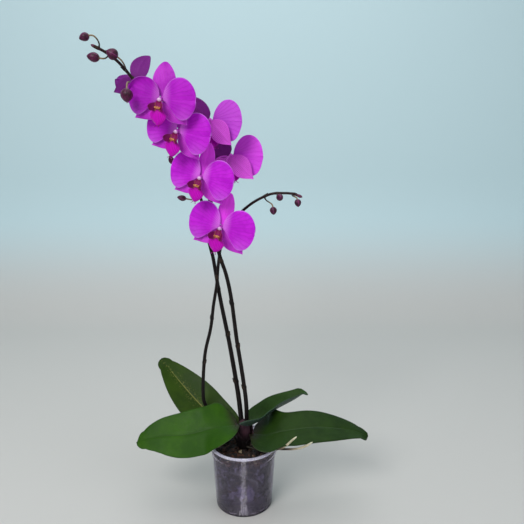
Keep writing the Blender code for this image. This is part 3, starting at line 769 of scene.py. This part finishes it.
bud_finish, tree, shader = new_finish("Bud skin", Subsurface_Weight=.08,
                                      Subsurface_Radius=(.002, .001, .001),
                                      Specular_IOR_Level=.32)
along = attribute(tree, "along")
lines = veined(tree, 4, .1, .34)[0]
patches, grain = mottled(tree, 180)
skin = blend(tree, patches, (.036, .002, .015), (.110, .006, .056))
skin = blend(tree, maths(tree, "MULTIPLY", lines, .45), skin, (.020, .001, .010))
# Painted highlight along the three seams.
skin = blend(tree, ramp(tree, attribute(tree, "seam_highlight"), .55, 1.0, 0, .6), skin, (.30, .04, .20))
skin = blend(tree, ramp(tree, along, .92, 1.0, 0, .5), skin, (.16, .02, .10))
stem = blend(tree, ramp(tree, along, .12, .46), (.012, .008, .007), (.26, .19, .11))
colour = blend(tree, ramp(tree, along, .50, .58), stem, skin)
coat(tree, shader, colour, grain, .34, .48)
relief(tree, shader, raised(tree, lines, .5, grain), .0003, .45)
STEM_STATIONS = 6                        # rings of the solid that are its stalk
STEM_RINGS, BULB_RINGS, BUD_SIDES = 24, 40, 30

for number in range(1, 10):
    line, thick = centre_line(f"bud_{number}", thick_first=False)
    stalk = smooth(line[:STEM_STATIONS], STEM_RINGS)
    point, base = line[-1], line[STEM_STATIONS - 1]
    axis = point - base
    length = np.linalg.norm(axis)
    axis /= length
    v = np.linspace(.02, 1, BULB_RINGS)
    lean = stalk[-1] - stalk[-3]
    lean /= np.linalg.norm(lean)
    sideways = np.outer(np.sin(np.pi * v) * .06 * length, lean - axis * lean.dot(axis))
    path = np.vstack([stalk, base + axis * (v * length)[:, None] + sideways])
    thin = np.interp(np.linspace(0, 1, STEM_RINGS), [0, .15, 1], [.0014, .0010, .0012])
    egg = thick.max() * 1.03 * np.sin(np.pi * v ** .82) ** .62
    radii = np.concatenate([thin, np.maximum(egg, .0013 * (v < .1))])
    radii[-1] = .0003
    part = np.concatenate([np.zeros(STEM_RINGS), v])[:, None]

    def seams(angle, along, part=part):
        """Three grooves on the bulb, with a slight bulge of each sepal between them."""
        groove = np.exp(-((np.mod(angle * 3 / (2 * np.pi), 1) - .5) / .05) ** 2)
        return 1 - part ** .5 * (.055 * groove - .03 * np.cos(angle * 3)) * (part > 0)

    verts, faces, values = carried(path, radii, BUD_SIDES, seams)
    scale = np.concatenate([np.linspace(0, .52, STEM_RINGS), .52 + .48 * v])
    values["along"] = np.append(np.repeat(scale, BUD_SIDES), scale[[0, -1]])
    turn = np.tile(np.arange(BUD_SIDES) * 3 / BUD_SIDES % 1, len(path))
    turn = np.append(turn, [0, 0])
    values["seam_highlight"] = np.exp(-((turn - .5) / .09) ** 2) * (values["along"] > .56)
    settle(make_piece(f"bud_{number}_closed", bud_finish, verts, faces, values),
           "bud", f"bud_{number}")

# ---------------------------------------------------------------------------
# Leaves. Four thick strap leaves, waxy above and duller below, each with a channel
# along the midrib and a narrow foot that clasps the crown.

crown_low, crown_high = (np.array(corner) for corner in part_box("plant_crown"))
crown_middle = (crown_low + crown_high) / 2


def stations(name):
    """Middle, half width and hollow of each station of a leaf. Its corners are those as
    many edges from the foot, and its two margins are the corners farthest apart."""
    corners, _, pairs = welded(name)
    order = np.hypot(*(corners - crown_middle)[:, :2].T).argsort()
    for size in range(6, 41, 2):
        level = steps_from(order[:size], pairs, len(corners))
        if (np.bincount(level) == size).all():
            break
    rows, before = [], np.array([0, 1, 0])
    for ring in range(level.max() + 1):
        spots = corners[level == ring]
        apart = np.linalg.norm(spots[:, None] - spots[None], axis=2)
        first, second = np.unravel_index(apart.argmax(), apart.shape)
        side = (spots[second] - spots[first]) / 2
        middle = (spots[second] + spots[first]) / 2
        if side.dot(before) < 0:
            side = -side
        before = side
        across = (spots - middle) @ side / side.dot(side)
        spine = spots[np.argsort(abs(across))[:2]].mean(0)
        hollow = middle - spine
        hollow -= side * hollow.dot(side) / side.dot(side)
        rows.append(np.concatenate([spine, side, hollow]))
    return np.array(rows)


def leaf_tissue(name, body, deep, below, rib, rib_width, flecks):
    """Leaf skin: long faint veins, a midrib line, flecks beside it, a duller back and a
    foot that goes brown."""
    finish, tree, shader = new_finish(
        name, Subsurface_Weight=.08, Subsurface_Radius=(.001, .003, .0005),
        Specular_IOR_Level=.11)
    along, across = attribute(tree, "along"), attribute(tree, "across")
    threads = veined(tree, 9, .03, .34)[1]
    patches, grain = mottled(tree, 22)
    colour = blend(tree, patches, body, deep)
    side = maths(tree, "ABSOLUTE", across)
    colour = blend(tree, ramp(tree, side, .86, 1.0, 0, .5), colour, deep)
    colour = blend(tree, maths(tree, "MULTIPLY", threads, .16), colour, deep)
    colour = blend(tree, ramp(tree, along, .0, .12, .75, 0), colour, (.030, .012, .012))
    rib_share = ramp(tree, side, rib_width, 0.0, 0.0, .75)
    rib_share = maths(tree, "MULTIPLY", rib_share, ramp(tree, along, .08, .25))
    rib_share = maths(tree, "MULTIPLY", rib_share, ramp(tree, along, .98, .78))
    colour = blend(tree, rib_share, colour, rib)
    near_rib = maths(tree, "MULTIPLY", ramp(tree, side, .45, .02), ramp(tree, along, .30, .55))
    spots = maths(tree, "MULTIPLY", mottled(tree, 420, .60, .66, 1.0)[0], near_rib)
    colour = blend(tree, maths(tree, "MULTIPLY", spots, flecks), colour, rib)
    back = blend(tree, maths(tree, "MULTIPLY", threads, .3), below,
                 tuple(channel * .7 for channel in below))
    colour = blend(tree, attribute(tree, "front"), back, colour)
    coat(tree, shader, colour, grain, .36, .50)
    relief(tree, shader, raised(tree, threads, .5, grain), .0003, .35)
    return finish


LEAF_LOOKS = {
    "leaf_left_front": dict(body=(.034, .105, .004), deep=(.022, .074, .004),
                            below=(.055, .085, .040), rib=(.022, .064, .006),
                            rib_width=.05, flecks=0.0),
    "leaf_left_back": dict(body=(.030, .066, .003), deep=(.020, .046, .003),
                           below=(.050, .075, .040), rib=(.24, .24, .06),
                           rib_width=.05, flecks=.55),
    "leaf_right_front": dict(body=(.021, .052, .006), deep=(.013, .034, .004),
                             below=(.055, .075, .045), rib=(.050, .085, .035),
                             rib_width=.04, flecks=0.0),
    "leaf_right_back": dict(body=(.030, .074, .014), deep=(.020, .050, .009),
                            below=(.050, .085, .062), rib=(.030, .060, .020),
                            rib_width=.05, flecks=0.0)}
LEAF_MIDDLE, LEAF_MARGIN = .0022, .0013     # thickness
LEAF_ROWS, LEAF_COLUMNS = 110, 41
LEAST_HALF = .0008                          # half width at the very tip
SHOULDER = {"leaf_left_front": (.25, .35), "leaf_right_front": (.95, 1.25),
            "leaf_right_back": (.9, .3)}    # broader near the foot: near side, far side
WRAP = {"leaf_right_back": (-.024, -.024, .016)}      # its near margin clasps the crown
FOLD = {"leaf_right_back": (.9, .010)}      # near half folded up, and how far the tip nods
GROOVE_DEPTH, WAVE_HEIGHT = .0011, .0016    # along the midrib, along the margins

feet = []
for count, (name, look) in enumerate(LEAF_LOOKS.items()):
    found = stations(name)
    last = 1 - 1 / (len(found) - 1)
    laid = smooth(found, LEAF_ROWS)
    share = np.linspace(0, 1, LEAF_ROWS)
    before = np.abs(share - last).argmin()
    end = (share - share[before]) / (1 - share[before])
    keep = np.linalg.norm(laid[before, 3:6])
    now = np.linalg.norm(laid[:, 3:6], axis=1)
    rounded = np.where(share > share[before], keep * np.sqrt(np.clip(1 - end ** 2, 0, 1)), now)
    factor = (np.maximum(rounded, LEAST_HALF) / now)[:, None]
    spine = laid[:, None, :3]
    side = (laid[:, 3:6] * factor)[:, None]
    hollow = (laid[:, 6:] * np.minimum(factor, 1))[:, None]
    u = np.linspace(-1, 1, LEAF_COLUMNS)[None, :, None]
    v = share[:, None, None]
    up = np.cross(np.gradient(spine[:, 0], axis=0), side[:, 0])
    up /= np.linalg.norm(up, axis=1)[:, None]
    up = (up * np.sign((up * hollow[:, 0]).sum()))[:, None]
    # The blade is spine + side * u + hollow * |u| ** 1.6, with a sunk midrib and a wave
    # that grows towards the margins. Its shoulders are smooth humps of the width.
    groove = -GROOVE_DEPTH * np.exp(-(u / .055) ** 2) * np.sin(np.pi * v) ** .4
    wave = WAVE_HEIGHT * np.abs(u) ** 3 * np.sin(9 * v + 2 * u + count) * v
    near_side, far_side = SHOULDER.get(name, (0, 0))
    shoulder = 1 + np.where(u < 0, near_side * np.exp(-((v - .13) / .10) ** 2),
                            far_side * (np.exp(-((v - .12) / .12) ** 2)
                                        + .9 * np.exp(-(v / .05) ** 2)))
    fold, droop = FOLD.get(name, (0, 0))
    near = fold * (u < 0) * np.sin(np.pi * np.clip(v * 1.05, 0, 1)) ** .5
    spine = spine - (0, 0, 1) * (droop * np.clip((v - .88) / .12, 0, 1) ** 2)
    clasp = np.clip(-u, 0, 1) ** 1.3 * np.exp(-(v / .16) ** 2)
    points = (spine + side * u * shoulder * (1 - .45 * near)
              + hollow * np.abs(u) ** 1.6 * (1 + near) + up * (groove + wave)
              + np.array(WRAP.get(name, (0, 0, 0))) * clasp)
    edge = (np.abs(u) ** 6 + 0 * v)[..., 0]
    thick = LEAF_MIDDLE + (LEAF_MARGIN - LEAF_MIDDLE) * edge
    row, column = 50, LEAF_COLUMNS // 2
    outward = np.cross(np.gradient(points, axis=0)[row, column],
                       np.gradient(points, axis=1)[row, column])
    finish = leaf_tissue(f"Skin of {name.replace('_', ' ')}", **look)
    settle(make_piece(f"{name}_blade", finish,
                      *blade(points, thick, outward.dot(up[row, 0]) < 0,
                             {"along": v[..., 0] + 0 * edge, "across": u[..., 0] + 0 * edge,
                              "edge": edge})), "leaf", name)
    feet.append(found[0, :3])

# ---------------------------------------------------------------------------
# Crown. The short stem, hidden in the bases of its leaves: overlapping purple-brown
# sheaths wrapped round it, with a paler margin and fibrous ribs. Painted shade makes
# them near black at the foot, and their upper edges stand away from the stem.


def height_up(tree):
    """Height above the ground."""
    place = add(tree, "ShaderNodeTexCoord").outputs["Object"]
    return add(tree, "ShaderNodeSeparateXYZ", {0: place}).outputs[2]


crown_finish, tree, shader = new_finish("Leaf sheath", Specular_IOR_Level=.25)
patches, grain = mottled(tree, 90)
threads = veined(tree, 9, .05, .34)[1]
colour = blend(tree, patches, (.036, .012, .022), (.070, .026, .038))
colour = blend(tree, maths(tree, "MULTIPLY", threads, .5), colour, (.018, .006, .010))
colour = blend(tree, ramp(tree, attribute(tree, "edge"), .7, 1.0, 0, .6), colour,
               (.10, .05, .045))
# Painted shade: the sheaths go near black towards the foot.
low = crown_low[2]
colour = blend(tree, ramp(tree, height_up(tree), low + .034, low + .014), colour,
               (.010, .007, .006))
coat(tree, shader, colour, grain, .38, .6)
relief(tree, shader, maths(tree, "ADD", threads, grain), .0004, .6)

half_x, half_y = (crown_high - crown_low)[:2] / 2
crown_height = crown_high[2] - crown_low[2]
CROWN_RINGS, CROWN_SIDES = 48, 72
SHEATH_THICK = .0009
LOW_FLARE, LEAF_FLARE = .16, .36         # how far the upper edges stand away


def crown_radius(up):
    """The stem's share of its box at a share of its height, fullest just below half way:
    .74 + .26 sin(1.05 pi up) - .10 up."""
    return .74 + .26 * np.sin(np.pi * np.minimum(1, up * 1.05)) - .10 * up


up = np.linspace(0, 1, CROWN_RINGS)[:, None]
turn = np.linspace(0, 2 * np.pi, CROWN_SIDES, endpoint=False)[None, :]
dome = crown_radius(up) * np.sqrt(np.clip(1 - np.clip((up - .86) / .14, 0, 1) ** 2, .02, 1))
dome = dome * (.93 + .012 * np.cos(22 * turn + 6 * up))
rings = crown_middle[:2] + np.stack([half_x * dome * np.cos(turn),
                                     half_y * dome * np.sin(turn)], -1)
verts = np.dstack([rings, np.broadcast_to(crown_low[2] + up * crown_height, dome.shape)])
faces = ring_faces(CROWN_RINGS, CROWN_SIDES)
faces += [list(range(CROWN_SIDES - 1, -1, -1)), list(range(dome.size - CROWN_SIDES, dome.size))]
stem = (verts.reshape(-1, 3), faces,
        {"along": (up + 0 * turn).ravel(), "across": (np.cos(turn) * 2 + 0 * up).ravel()})
made = [marked(stem, edge=0, front=1)]
# Two low sheaths by the way they face, then one to each leaf's foot, the lowest first.
low_feet = [crown_middle + (.2, -1, -.012), crown_middle + (-1, .3, -.018)]
for count, foot in enumerate(low_feet + sorted(feet, key=lambda foot: foot[2])):
    v = np.linspace(0, 1, 34)[:, None]
    u = np.linspace(-1, 1, 45)[None, :]
    outward = math.atan2((foot[1] - crown_middle[1]) / half_y,
                         (foot[0] - crown_middle[0]) / half_x)
    tall = min(.98, (foot[2] + .003 - crown_low[2]) / crown_height)
    angle = outward + (1.9 - 1.15 * v ** 1.5) * u
    high = tall * v * (1 - .42 * u ** 2 * v)
    flare = LOW_FLARE if count < len(low_feet) else LEAF_FLARE
    reach = crown_radius(high) * (.96 + .022 * count + .03 * v
                                  + flare * v ** 2.5 * (1 - .5 * u ** 2))
    place = np.stack([crown_middle[0] + half_x * reach * np.cos(angle),
                      crown_middle[1] + half_y * reach * np.sin(angle),
                      crown_low[2] + high * crown_height], -1)
    edge = np.maximum(np.abs(u) ** 10 + 0 * v, v ** 14 + 0 * u)
    made.append(blade(place, SHEATH_THICK, True, {"along": v + 0 * u, "across": u + 0 * v,
                                                  "edge": edge}))
settle(make_piece("crown_in_sheaths", crown_finish, *joined(made)), "sheath", "plant_crown")

# ---------------------------------------------------------------------------
# Aerial roots. Two thick roots reach out over the pot's edge, dark where they leave the
# crown: chalky skin, a knobbly surface and a blunt tip, where the dry ends are cream.

root_finish, tree, shader = new_finish("Root skin", Subsurface_Weight=.1, Roughness=.75)
patches, grain = mottled(tree, 150)
along = attribute(tree, "along")
chalk = blend(tree, patches, (.42, .36, .24), (.58, .50, .36))
chalk = blend(tree, ramp(tree, along, .82, .60), chalk, (.030, .024, .014))
chalk = blend(tree, ramp(tree, along, .90, 1.0, 0, .8), chalk, (.74, .68, .50))
tree.links.new(chalk, shader.inputs["Base Color"])
relief(tree, shader, maths(tree, "ADD", patches, grain), .0005, .7)
ROOT_RINGS, ROOT_SIDES = 80, 20
LEAST_ROOT = .0018                       # radius


def knobs(angle, along):
    """Low knobs, three round the root and wandering along it."""
    return 1 + .05 * np.sin(3 * angle + 20 * along) * np.sin(31 * along)


for number in (1, 2):
    line, thick = centre_line(f"aerial_root_{number}", thick_first=True)
    laid = smooth(np.column_stack([line, thick]), ROOT_RINGS)
    share = np.linspace(0, 1, ROOT_RINGS)
    radii = np.maximum(laid[:, 3], LEAST_ROOT) * (
        1 + .06 * np.sin(37 * share) * np.sin(11 * share + number))
    radii[-10:] *= np.sqrt(1 - np.linspace(0, .97, 10) ** 2)
    settle(make_piece(f"aerial_root_{number}_skin", root_finish,
                      *carried(laid[:, :3], radii, ROOT_SIDES, knobs)),
           "root", f"aerial_root_{number}")

# ---------------------------------------------------------------------------
# Pot. A thin-walled nursery pot moulded in clear, faintly violet plastic: a milky
# rolled rim, a straight collar, a tapered wall and a flat floor with drain holes.

RIM, _, POT_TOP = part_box("pot")[1]  # the rim's radius and its height
BEAD = .0024                       # radius of the rolled rim
WALL, FLOOR = .0014, .0016         # thickness
COLLAR_FOOT = POT_TOP - .019       # height at which the collar meets the wall
STEP = .0022                       # how far the collar stands out from the wall
BASE = .050                        # radius of the pot's base
WALL_TOP = RIM - BEAD - STEP
DRAIN_HOLES, DRAIN_CIRCLE, DRAIN_RADIUS = 6, .030, .004
POT_SIDES, DRILL_SIDES = 144, 24


def wall_at(z):
    """Outside of the tapered wall at a height."""
    return BASE + (WALL_TOP - BASE) * z / COLLAR_FOOT


def arc(radius, height, size, start, end, count):
    """Points of a round corner, from one angle to another in degrees."""
    angle = np.radians(np.linspace(start, end, count))
    return [(radius + size * c, height + size * s) for c, s in zip(np.cos(angle), np.sin(angle))]


def turned(profile, steps, wobble=None):
    """A profile of (radius, height) pairs carried round the upright axis. Its first and
    last pairs lie on the axis, so each of them is one point."""
    profile = np.array(profile)
    angle = np.linspace(0, 2 * np.pi, steps, endpoint=False)
    radius = profile[:, :1] * (1 if wobble is None else wobble(profile, angle))
    ring = np.stack([radius * np.cos(angle), radius * np.sin(angle),
                     profile[:, 1:] + 0 * angle], -1)
    verts = np.vstack([ring[1:-1].reshape(-1, 3), [0, 0, profile[0, 1]], [0, 0, profile[-1, 1]]])
    return verts, closed_faces(len(profile) - 2, steps), {}


outside = [(0, .0008), (.020, .0008), (.024, 0), (BASE - .003, 0)]
outside += arc(BASE - .002, .002, .002, -90, 0, 6)
outside += [(wall_at(z), z) for z in np.linspace(.006, COLLAR_FOOT - .002, 14)]
outside += arc(WALL_TOP + .0008, COLLAR_FOOT - .0002, .0008, 180, 90, 4)[:3]
outside += [(RIM - BEAD - .0012, COLLAR_FOOT + .0005), (RIM - BEAD, COLLAR_FOOT + .0018)]
outside += [(RIM - BEAD, z) for z in np.linspace(COLLAR_FOOT + .004, POT_TOP - 2 * BEAD - .001, 5)]
outside += arc(RIM - BEAD, POT_TOP - BEAD, BEAD, -75, 165, 20)
inside = [(RIM - 2 * BEAD + .0006, z)
          for z in np.linspace(POT_TOP - 2 * BEAD, COLLAR_FOOT + .004, 5)]
inside += [(RIM - BEAD - WALL - .0012, COLLAR_FOOT + .001), (WALL_TOP - WALL, COLLAR_FOOT - .002)]
inside += [(wall_at(z) - WALL, z) for z in np.linspace(COLLAR_FOOT - .006, .007, 13)]
inside += [(BASE - .004, FLOOR + .0008), (BASE - .007, FLOOR), (.024, FLOOR),
           (.020, FLOOR + .0008), (0, FLOOR + .0008)]

pot_finish, tree, shader = new_finish("Clear pot plastic", Transmission_Weight=.97, IOR=1.27,
                                      Specular_IOR_Level=.3)
patches, grain = mottled(tree, 32, .38, .72)
where = add(tree, "ShaderNodeTexCoord").outputs["Object"]
upright = add(tree, "ShaderNodeMapping", {"Vector": where, "Scale": (60.0, 60.0, 9.0)}).outputs[0]
streaks = add(tree, "ShaderNodeTexNoise", {"Vector": upright, "Scale": 1.0,
                                           "Detail": 4.0}).outputs["Fac"]
scuffs = ramp(tree, streaks, .52, .72)
colour = blend(tree, patches, (.74, .68, .82), (.60, .54, .70))
tree.links.new(colour, shader.inputs["Base Color"])
rough = maths(tree, "ADD", ramp(tree, patches, 0, 1, .04, .12),
              maths(tree, "MULTIPLY", scuffs, .06))
tree.links.new(rough, shader.inputs["Roughness"])
relief(tree, shader, raised(tree, grain, .15, streaks), .0006, .25)

rim_finish, tree, shader = new_finish("Milky rolled rim", Transmission_Weight=.45, IOR=1.45,
                                      Specular_IOR_Level=.5)
patches, grain = mottled(tree, 60)
milk = blend(tree, patches, (.78, .76, .86), (.60, .57, .72))
coat(tree, shader, milk, grain, .18, .30)
relief(tree, shader, grain, .0002, .3)

pot = make_piece("pot_body", pot_finish, *turned(outside + inside, POT_SIDES))
pot.data.materials.append(rim_finish)
drills = []
for angle in np.radians(np.arange(DRAIN_HOLES) * 360 / DRAIN_HOLES + 30):
    around = np.linspace(0, 2 * np.pi, DRILL_SIDES, endpoint=False)
    ring = np.stack([DRAIN_CIRCLE * np.cos(angle) + DRAIN_RADIUS * np.cos(around),
                     DRAIN_CIRCLE * np.sin(angle) + DRAIN_RADIUS * np.sin(around)], 1)
    verts = np.vstack([np.column_stack([ring, np.full(DRILL_SIDES, z)])
                       for z in (-.004, .006)])
    ends = [list(range(DRILL_SIDES - 1, -1, -1)), list(range(DRILL_SIDES, 2 * DRILL_SIDES))]
    drills.append((verts, ring_faces(2, DRILL_SIDES) + ends, {}))
drill = make_piece("drain_drill", pot_finish, *joined(drills))
cut = pot.modifiers.new("drain holes", "BOOLEAN")
cut.object, cut.solver = drill, "EXACT"
bpy.context.view_layer.update()
bored = bpy.data.meshes.new_from_object(pot.evaluated_get(
    bpy.context.evaluated_depsgraph_get()))
pot.modifiers.clear()
pot.data = bored
centres = np.empty(len(bored.polygons) * 3)
bored.polygons.foreach_get("center", centres)
in_rim = centres[2::3] > POT_TOP - 2.1 * BEAD
bored.polygons.foreach_set("material_index", in_rim.astype(int))
pot.data.shade_smooth()
pot.data.set_sharp_from_angle(angle=math.radians(40))
bpy.data.objects.remove(drill)
settle(pot, "pot_plastic", "pot")

# ---------------------------------------------------------------------------
# Bark. Chunks of dark fir bark fill the pot loosely, with pale bits on top. Against
# the wall they carry a painted lavender haze of the clear plastic and painted shade low
# down. Dark roots run between the chunks and the wall.

BARK_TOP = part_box("potting_bark")[1][2]
bark_finish, tree, shader = new_finish("Bark with painted haze")
patches, grain = mottled(tree, 240)
tone = attribute(tree, "tone")
colour = blend(tree, patches, (.008, .005, .005), (.034, .018, .014))
colour = blend(tree, ramp(tree, tone, .70, .86), colour, (.100, .040, .022))
colour = blend(tree, ramp(tree, tone, .93, .95), colour, (.46, .36, .22))
# Painted lavender haze: light scattered in the clear plastic, painted onto the chunks behind the
# wall.
haze = mottled(tree, 34, .46, .56)[0]
wall_bark_with_painted_haze = blend(tree, haze, (.008, .006, .012), (.23, .21, .31))
wall_bark_with_painted_haze = blend(tree, ramp(tree, tone, .80, .93), wall_bark_with_painted_haze, (.060, .030, .030))
wall_bark_with_painted_haze = blend(tree, maths(tree, "MULTIPLY", patches, .5), wall_bark_with_painted_haze, (.012, .009, .013))
# Painted shade: darker low down in the pot.
wall_bark_with_painted_haze = blend(tree, ramp(tree, height_up(tree), .038, .020, 0, .85), wall_bark_with_painted_haze, (.012, .008, .018))
colour = blend(tree, attribute(tree, "wall"), colour, wall_bark_with_painted_haze)
coat(tree, shader, colour, grain, .45, .85)
relief(tree, shader, maths(tree, "ADD", patches, grain), .0008, .9)
ROOM = .0006                        # between the bark and the plastic


def inner(z):
    """Inside of the pot at a height, with a little room to spare."""
    z = np.asarray(z)
    return np.where(z < COLLAR_FOOT, wall_at(z), RIM - BEAD) - WALL - ROOM


def rough_core(profile, angle):
    """A lumpy surface, so that no smooth wall shows between the chunks."""
    z = profile[:, 1:]
    return 1 + .02 * np.sin(9 * angle + 60 * z) + .02 * np.sin(17 * angle - 230 * z)


core = [(0, FLOOR + .003), (.030, FLOOR + .003)]
core += [(float(inner(z)) - .005, z) for z in np.linspace(.006, BARK_TOP - .012, 20)]
core += [(.044, BARK_TOP - .009), (.030, BARK_TOP - .007), (.015, BARK_TOP - .007),
         (0, BARK_TOP - .007)]
dice = np.random.default_rng(5)
CORNERS = 26                        # of a chunk


def chunks(places, facing, sizes, tones, wall):
    """Bark chunks: a box of 26 corners, each pushed in or out and pulled a little
    towards the middle so that the arrises are worn, turned at random about the way it
    faces, and held inside the pot."""
    grid = np.array([(x, y, z) for x in (-1, 0, 1) for y in (-1, 0, 1) for z in (-1, 0, 1)
                     if (x, y, z) != (0, 0, 0)], float)
    worn = grid / np.linalg.norm(grid, axis=1)[:, None] ** .55
    amount = len(places)
    shape = worn[None] * (1 + dice.uniform(-.16, .16, (amount, CORNERS, 1))) * sizes[:, None]
    out = facing / np.linalg.norm(facing, axis=1)[:, None]
    spare = np.cross(out, dice.normal(size=(amount, 3)))
    spare /= np.linalg.norm(spare, axis=1)[:, None]
    axes = np.stack([spare, np.cross(out, spare), out], 1)
    corners = places[:, None] + np.einsum("nij,njk->nik", shape, axes)
    reach = np.hypot(corners[..., 0], corners[..., 1])
    corners[..., 2] = np.maximum(corners[..., 2], FLOOR + ROOM)
    shrink = np.minimum(1, inner(corners[..., 2]) / reach)
    corners[..., :2] *= shrink[..., None]
    near = {tuple(spot): k for k, spot in enumerate(grid.astype(int).tolist())}
    faces = []
    for axis in range(3):
        for end in (-1, 1):
            first, second = [a for a in range(3) if a != axis]
            for p in (-1, 0):
                for q in (-1, 0):
                    loop = []
                    for dp, dq in ((0, 0), (1, 0), (1, 1), (0, 1)):
                        spot = [0, 0, 0]
                        spot[axis], spot[first], spot[second] = end, p + dp, q + dq
                        loop.append(near[tuple(spot)])
                    turn_back = (end > 0) == (axis == 1)
                    faces.append(loop[::-1] if turn_back else loop)
    faces = (np.array(faces)[None] + CORNERS * np.arange(amount)[:, None, None]).reshape(-1, 4)
    return marked((corners.reshape(-1, 3), faces.tolist(), {"tone": np.repeat(tones, CORNERS)}),
                  wall=wall)


WALL_CHUNKS, TOP_CHUNKS, CRUMBS = 620, 230, 260       # how many of each
z = dice.uniform(.004, BARK_TOP - .004, WALL_CHUNKS)
angle = dice.uniform(0, 2 * np.pi, WALL_CHUNKS)
reach = inner(z) - dice.uniform(.0015, .0055, WALL_CHUNKS)
side_places = np.column_stack([reach * np.cos(angle), reach * np.sin(angle), z])
side_ways = np.column_stack([np.cos(angle), np.sin(angle), dice.normal(0, .25, WALL_CHUNKS)])
side_sizes = np.column_stack([dice.uniform(.003, .0085, WALL_CHUNKS),
                              dice.uniform(.0025, .006, WALL_CHUNKS),
                              dice.uniform(.0012, .0028, WALL_CHUNKS)])
side_tones = dice.uniform(0, .95, WALL_CHUNKS)


def strewn(amount, low, high, sizes, tones):
    """Chunks lying about on top, clear of the crown."""
    angle = dice.uniform(0, 2 * np.pi, amount)
    reach = np.sqrt(dice.uniform(.07, 1, amount)) * (float(inner(BARK_TOP)) - .005)
    spots = np.column_stack([reach * np.cos(angle), reach * np.sin(angle),
                             dice.uniform(low, high, amount)])
    ways = np.column_stack([dice.normal(0, .5, amount), dice.normal(0, .5, amount),
                            np.ones(amount)])
    return spots, ways, dice.uniform(*sizes, (amount, 3)) * (1.4, 1, .5), tones


top = strewn(TOP_CHUNKS, BARK_TOP - .007, BARK_TOP - .001, (.003, .0075),
             dice.uniform(0, .92, TOP_CHUNKS))
crumbs = strewn(CRUMBS, BARK_TOP - .001, BARK_TOP + .002, (.0012, .0034),
                dice.uniform(.6, 1, CRUMBS))
bark = make_piece("bark_chunks", bark_finish, *joined([
    marked(turned(core, 96, rough_core), tone=0, wall=0),
    chunks(side_places, side_ways, side_sizes, side_tones, True),
    chunks(*top, False), chunks(*crumbs, False)]))
bark.data.shade_flat()
settle(bark, "bark", "potting_bark")

potted_finish, tree, shader = new_finish("Potted root skin", Roughness=.7)
patches, grain = mottled(tree, 110)
colour = blend(tree, patches, (.022, .020, .026), (.075, .072, .088))
tree.links.new(colour, shader.inputs["Base Color"])
relief(tree, shader, maths(tree, "ADD", patches, grain), .0005, .6)
POTTED_ROOTS, POTTED_RINGS, POTTED_SIDES = 9, 60, 10
made = []
for count in range(POTTED_ROOTS):
    walk = np.linspace(0, 1, POTTED_RINGS)
    start, drop = dice.uniform(0, 2 * np.pi), dice.uniform(.5, 1)
    z = BARK_TOP - .004 - (BARK_TOP - .012) * walk * drop + .006 * np.sin(
        walk * 8 + dice.uniform(0, 6))
    z = np.clip(z, .006, BARK_TOP - .004)
    angle = start + walk * dice.uniform(-2.2, 2.2) + .25 * np.sin(
        walk * 9 + dice.uniform(0, 6))
    size = dice.uniform(.0022, .0034)
    reach = inner(z) - size * 1.05
    path = np.column_stack([reach * np.cos(angle), reach * np.sin(angle), z])
    made.append(carried(path, np.full(POTTED_RINGS, size), POTTED_SIDES))
settle(make_piece("roots_in_the_pot", potted_finish, *joined(made)), "root")

# ---------------------------------------------------------------------------
# Stage: a plain pale floor that sweeps up into a pale blue-grey wall, a camera that
# looks a little down, and soft studio lamps. Three faint strips on the floor in front
# of the pot are mirrored in its wall as one bright line.

FLOOR_FRONT, FLOOR_BACK, CURVE, WALL_HEIGHT, HALF_STAGE = -3.0, .9, .5, 3.2, 4.0
BELOW = .0002                       # the floor lies this much under the pot
curve = [(FLOOR_BACK + CURVE * np.sin(angle), CURVE - CURVE * np.cos(angle))
         for angle in np.linspace(0, np.pi / 2, 16)[1:]]
sweep = [(FLOOR_FRONT, 0), (FLOOR_BACK, 0)] + curve + [(FLOOR_BACK + CURVE, WALL_HEIGHT)]
verts = np.array([(x, y, z - BELOW) for x in (-HALF_STAGE, HALF_STAGE) for y, z in sweep])
rows = len(sweep)
faces = [[k, rows + k, rows + k + 1, k + 1] for k in range(rows - 1)]
stage_finish, tree, shader = new_finish("Pale studio sweep", Roughness=.8)
colour = blend(tree, ramp(tree, height_up(tree), .0, .35), (.62, .60, .57), (.60, .78, .82))
tree.links.new(colour, shader.inputs["Base Color"])
sweep_piece = make_piece("studio_sweep", stage_finish, verts, faces, {})


def lamp(name, place, aim, size, power, colour=(1, 1, 1), tall=None):
    """A rectangular soft lamp that faces a point."""
    light = bpy.data.lights.new(name, "AREA")
    light.shape = "RECTANGLE"
    light.size, light.size_y = size, tall or size
    light.energy, light.color = power, colour
    holder = bpy.data.objects.new(name, light)
    bpy.context.scene.collection.objects.link(holder)
    holder.location = place
    way = Vector(aim) - Vector(place)
    holder.rotation_euler = way.to_track_quat("-Z", "Y").to_euler()
    return holder


lamp("Key lamp", (-.9, -1.7, 1.9), (-.05, 0, .45), 1.1, 34)
lamp("Fill lamp", (1.7, -1.2, 1.1), (0, 0, .3), 1.4, 8, (.92, .96, 1))
lamp("Top lamp", (0, .3, 2.2), (0, 0, .2), 1.6, 12)
FLOOR_LAMP_UP = .002
for name, near, far, width, power in (("Near strip", -.052, -.085, .020, .0088),
                                      ("Middle strip", -.085, -.15, .031, .0265),
                                      ("Far strip", -.15, -.36, .055, .145)):
    middle = (near + far) / 2
    strip = lamp(name, (0, middle, FLOOR_LAMP_UP), (0, middle, 1), width, power, tall=near - far)
    strip.visible_camera = False

world = bpy.data.worlds.new("Soft room light")
world.use_nodes = True
sky = world.node_tree.nodes["Background"].inputs
sky["Color"].default_value = (.80, .88, .95, 1)
sky["Strength"].default_value = .38
bpy.context.scene.world = world
bpy.context.scene.view_settings.view_transform = "Standard"

view = bpy.data.cameras.new("Camera")
view.sensor_width = 36
view.lens = 37.7
camera = bpy.data.objects.new("Camera", view)
camera.location = (.032, -.879, .631)
camera.rotation_euler = (math.radians(77.7), 0, 0)
bpy.context.scene.collection.objects.link(camera)
bpy.context.scene.camera = camera
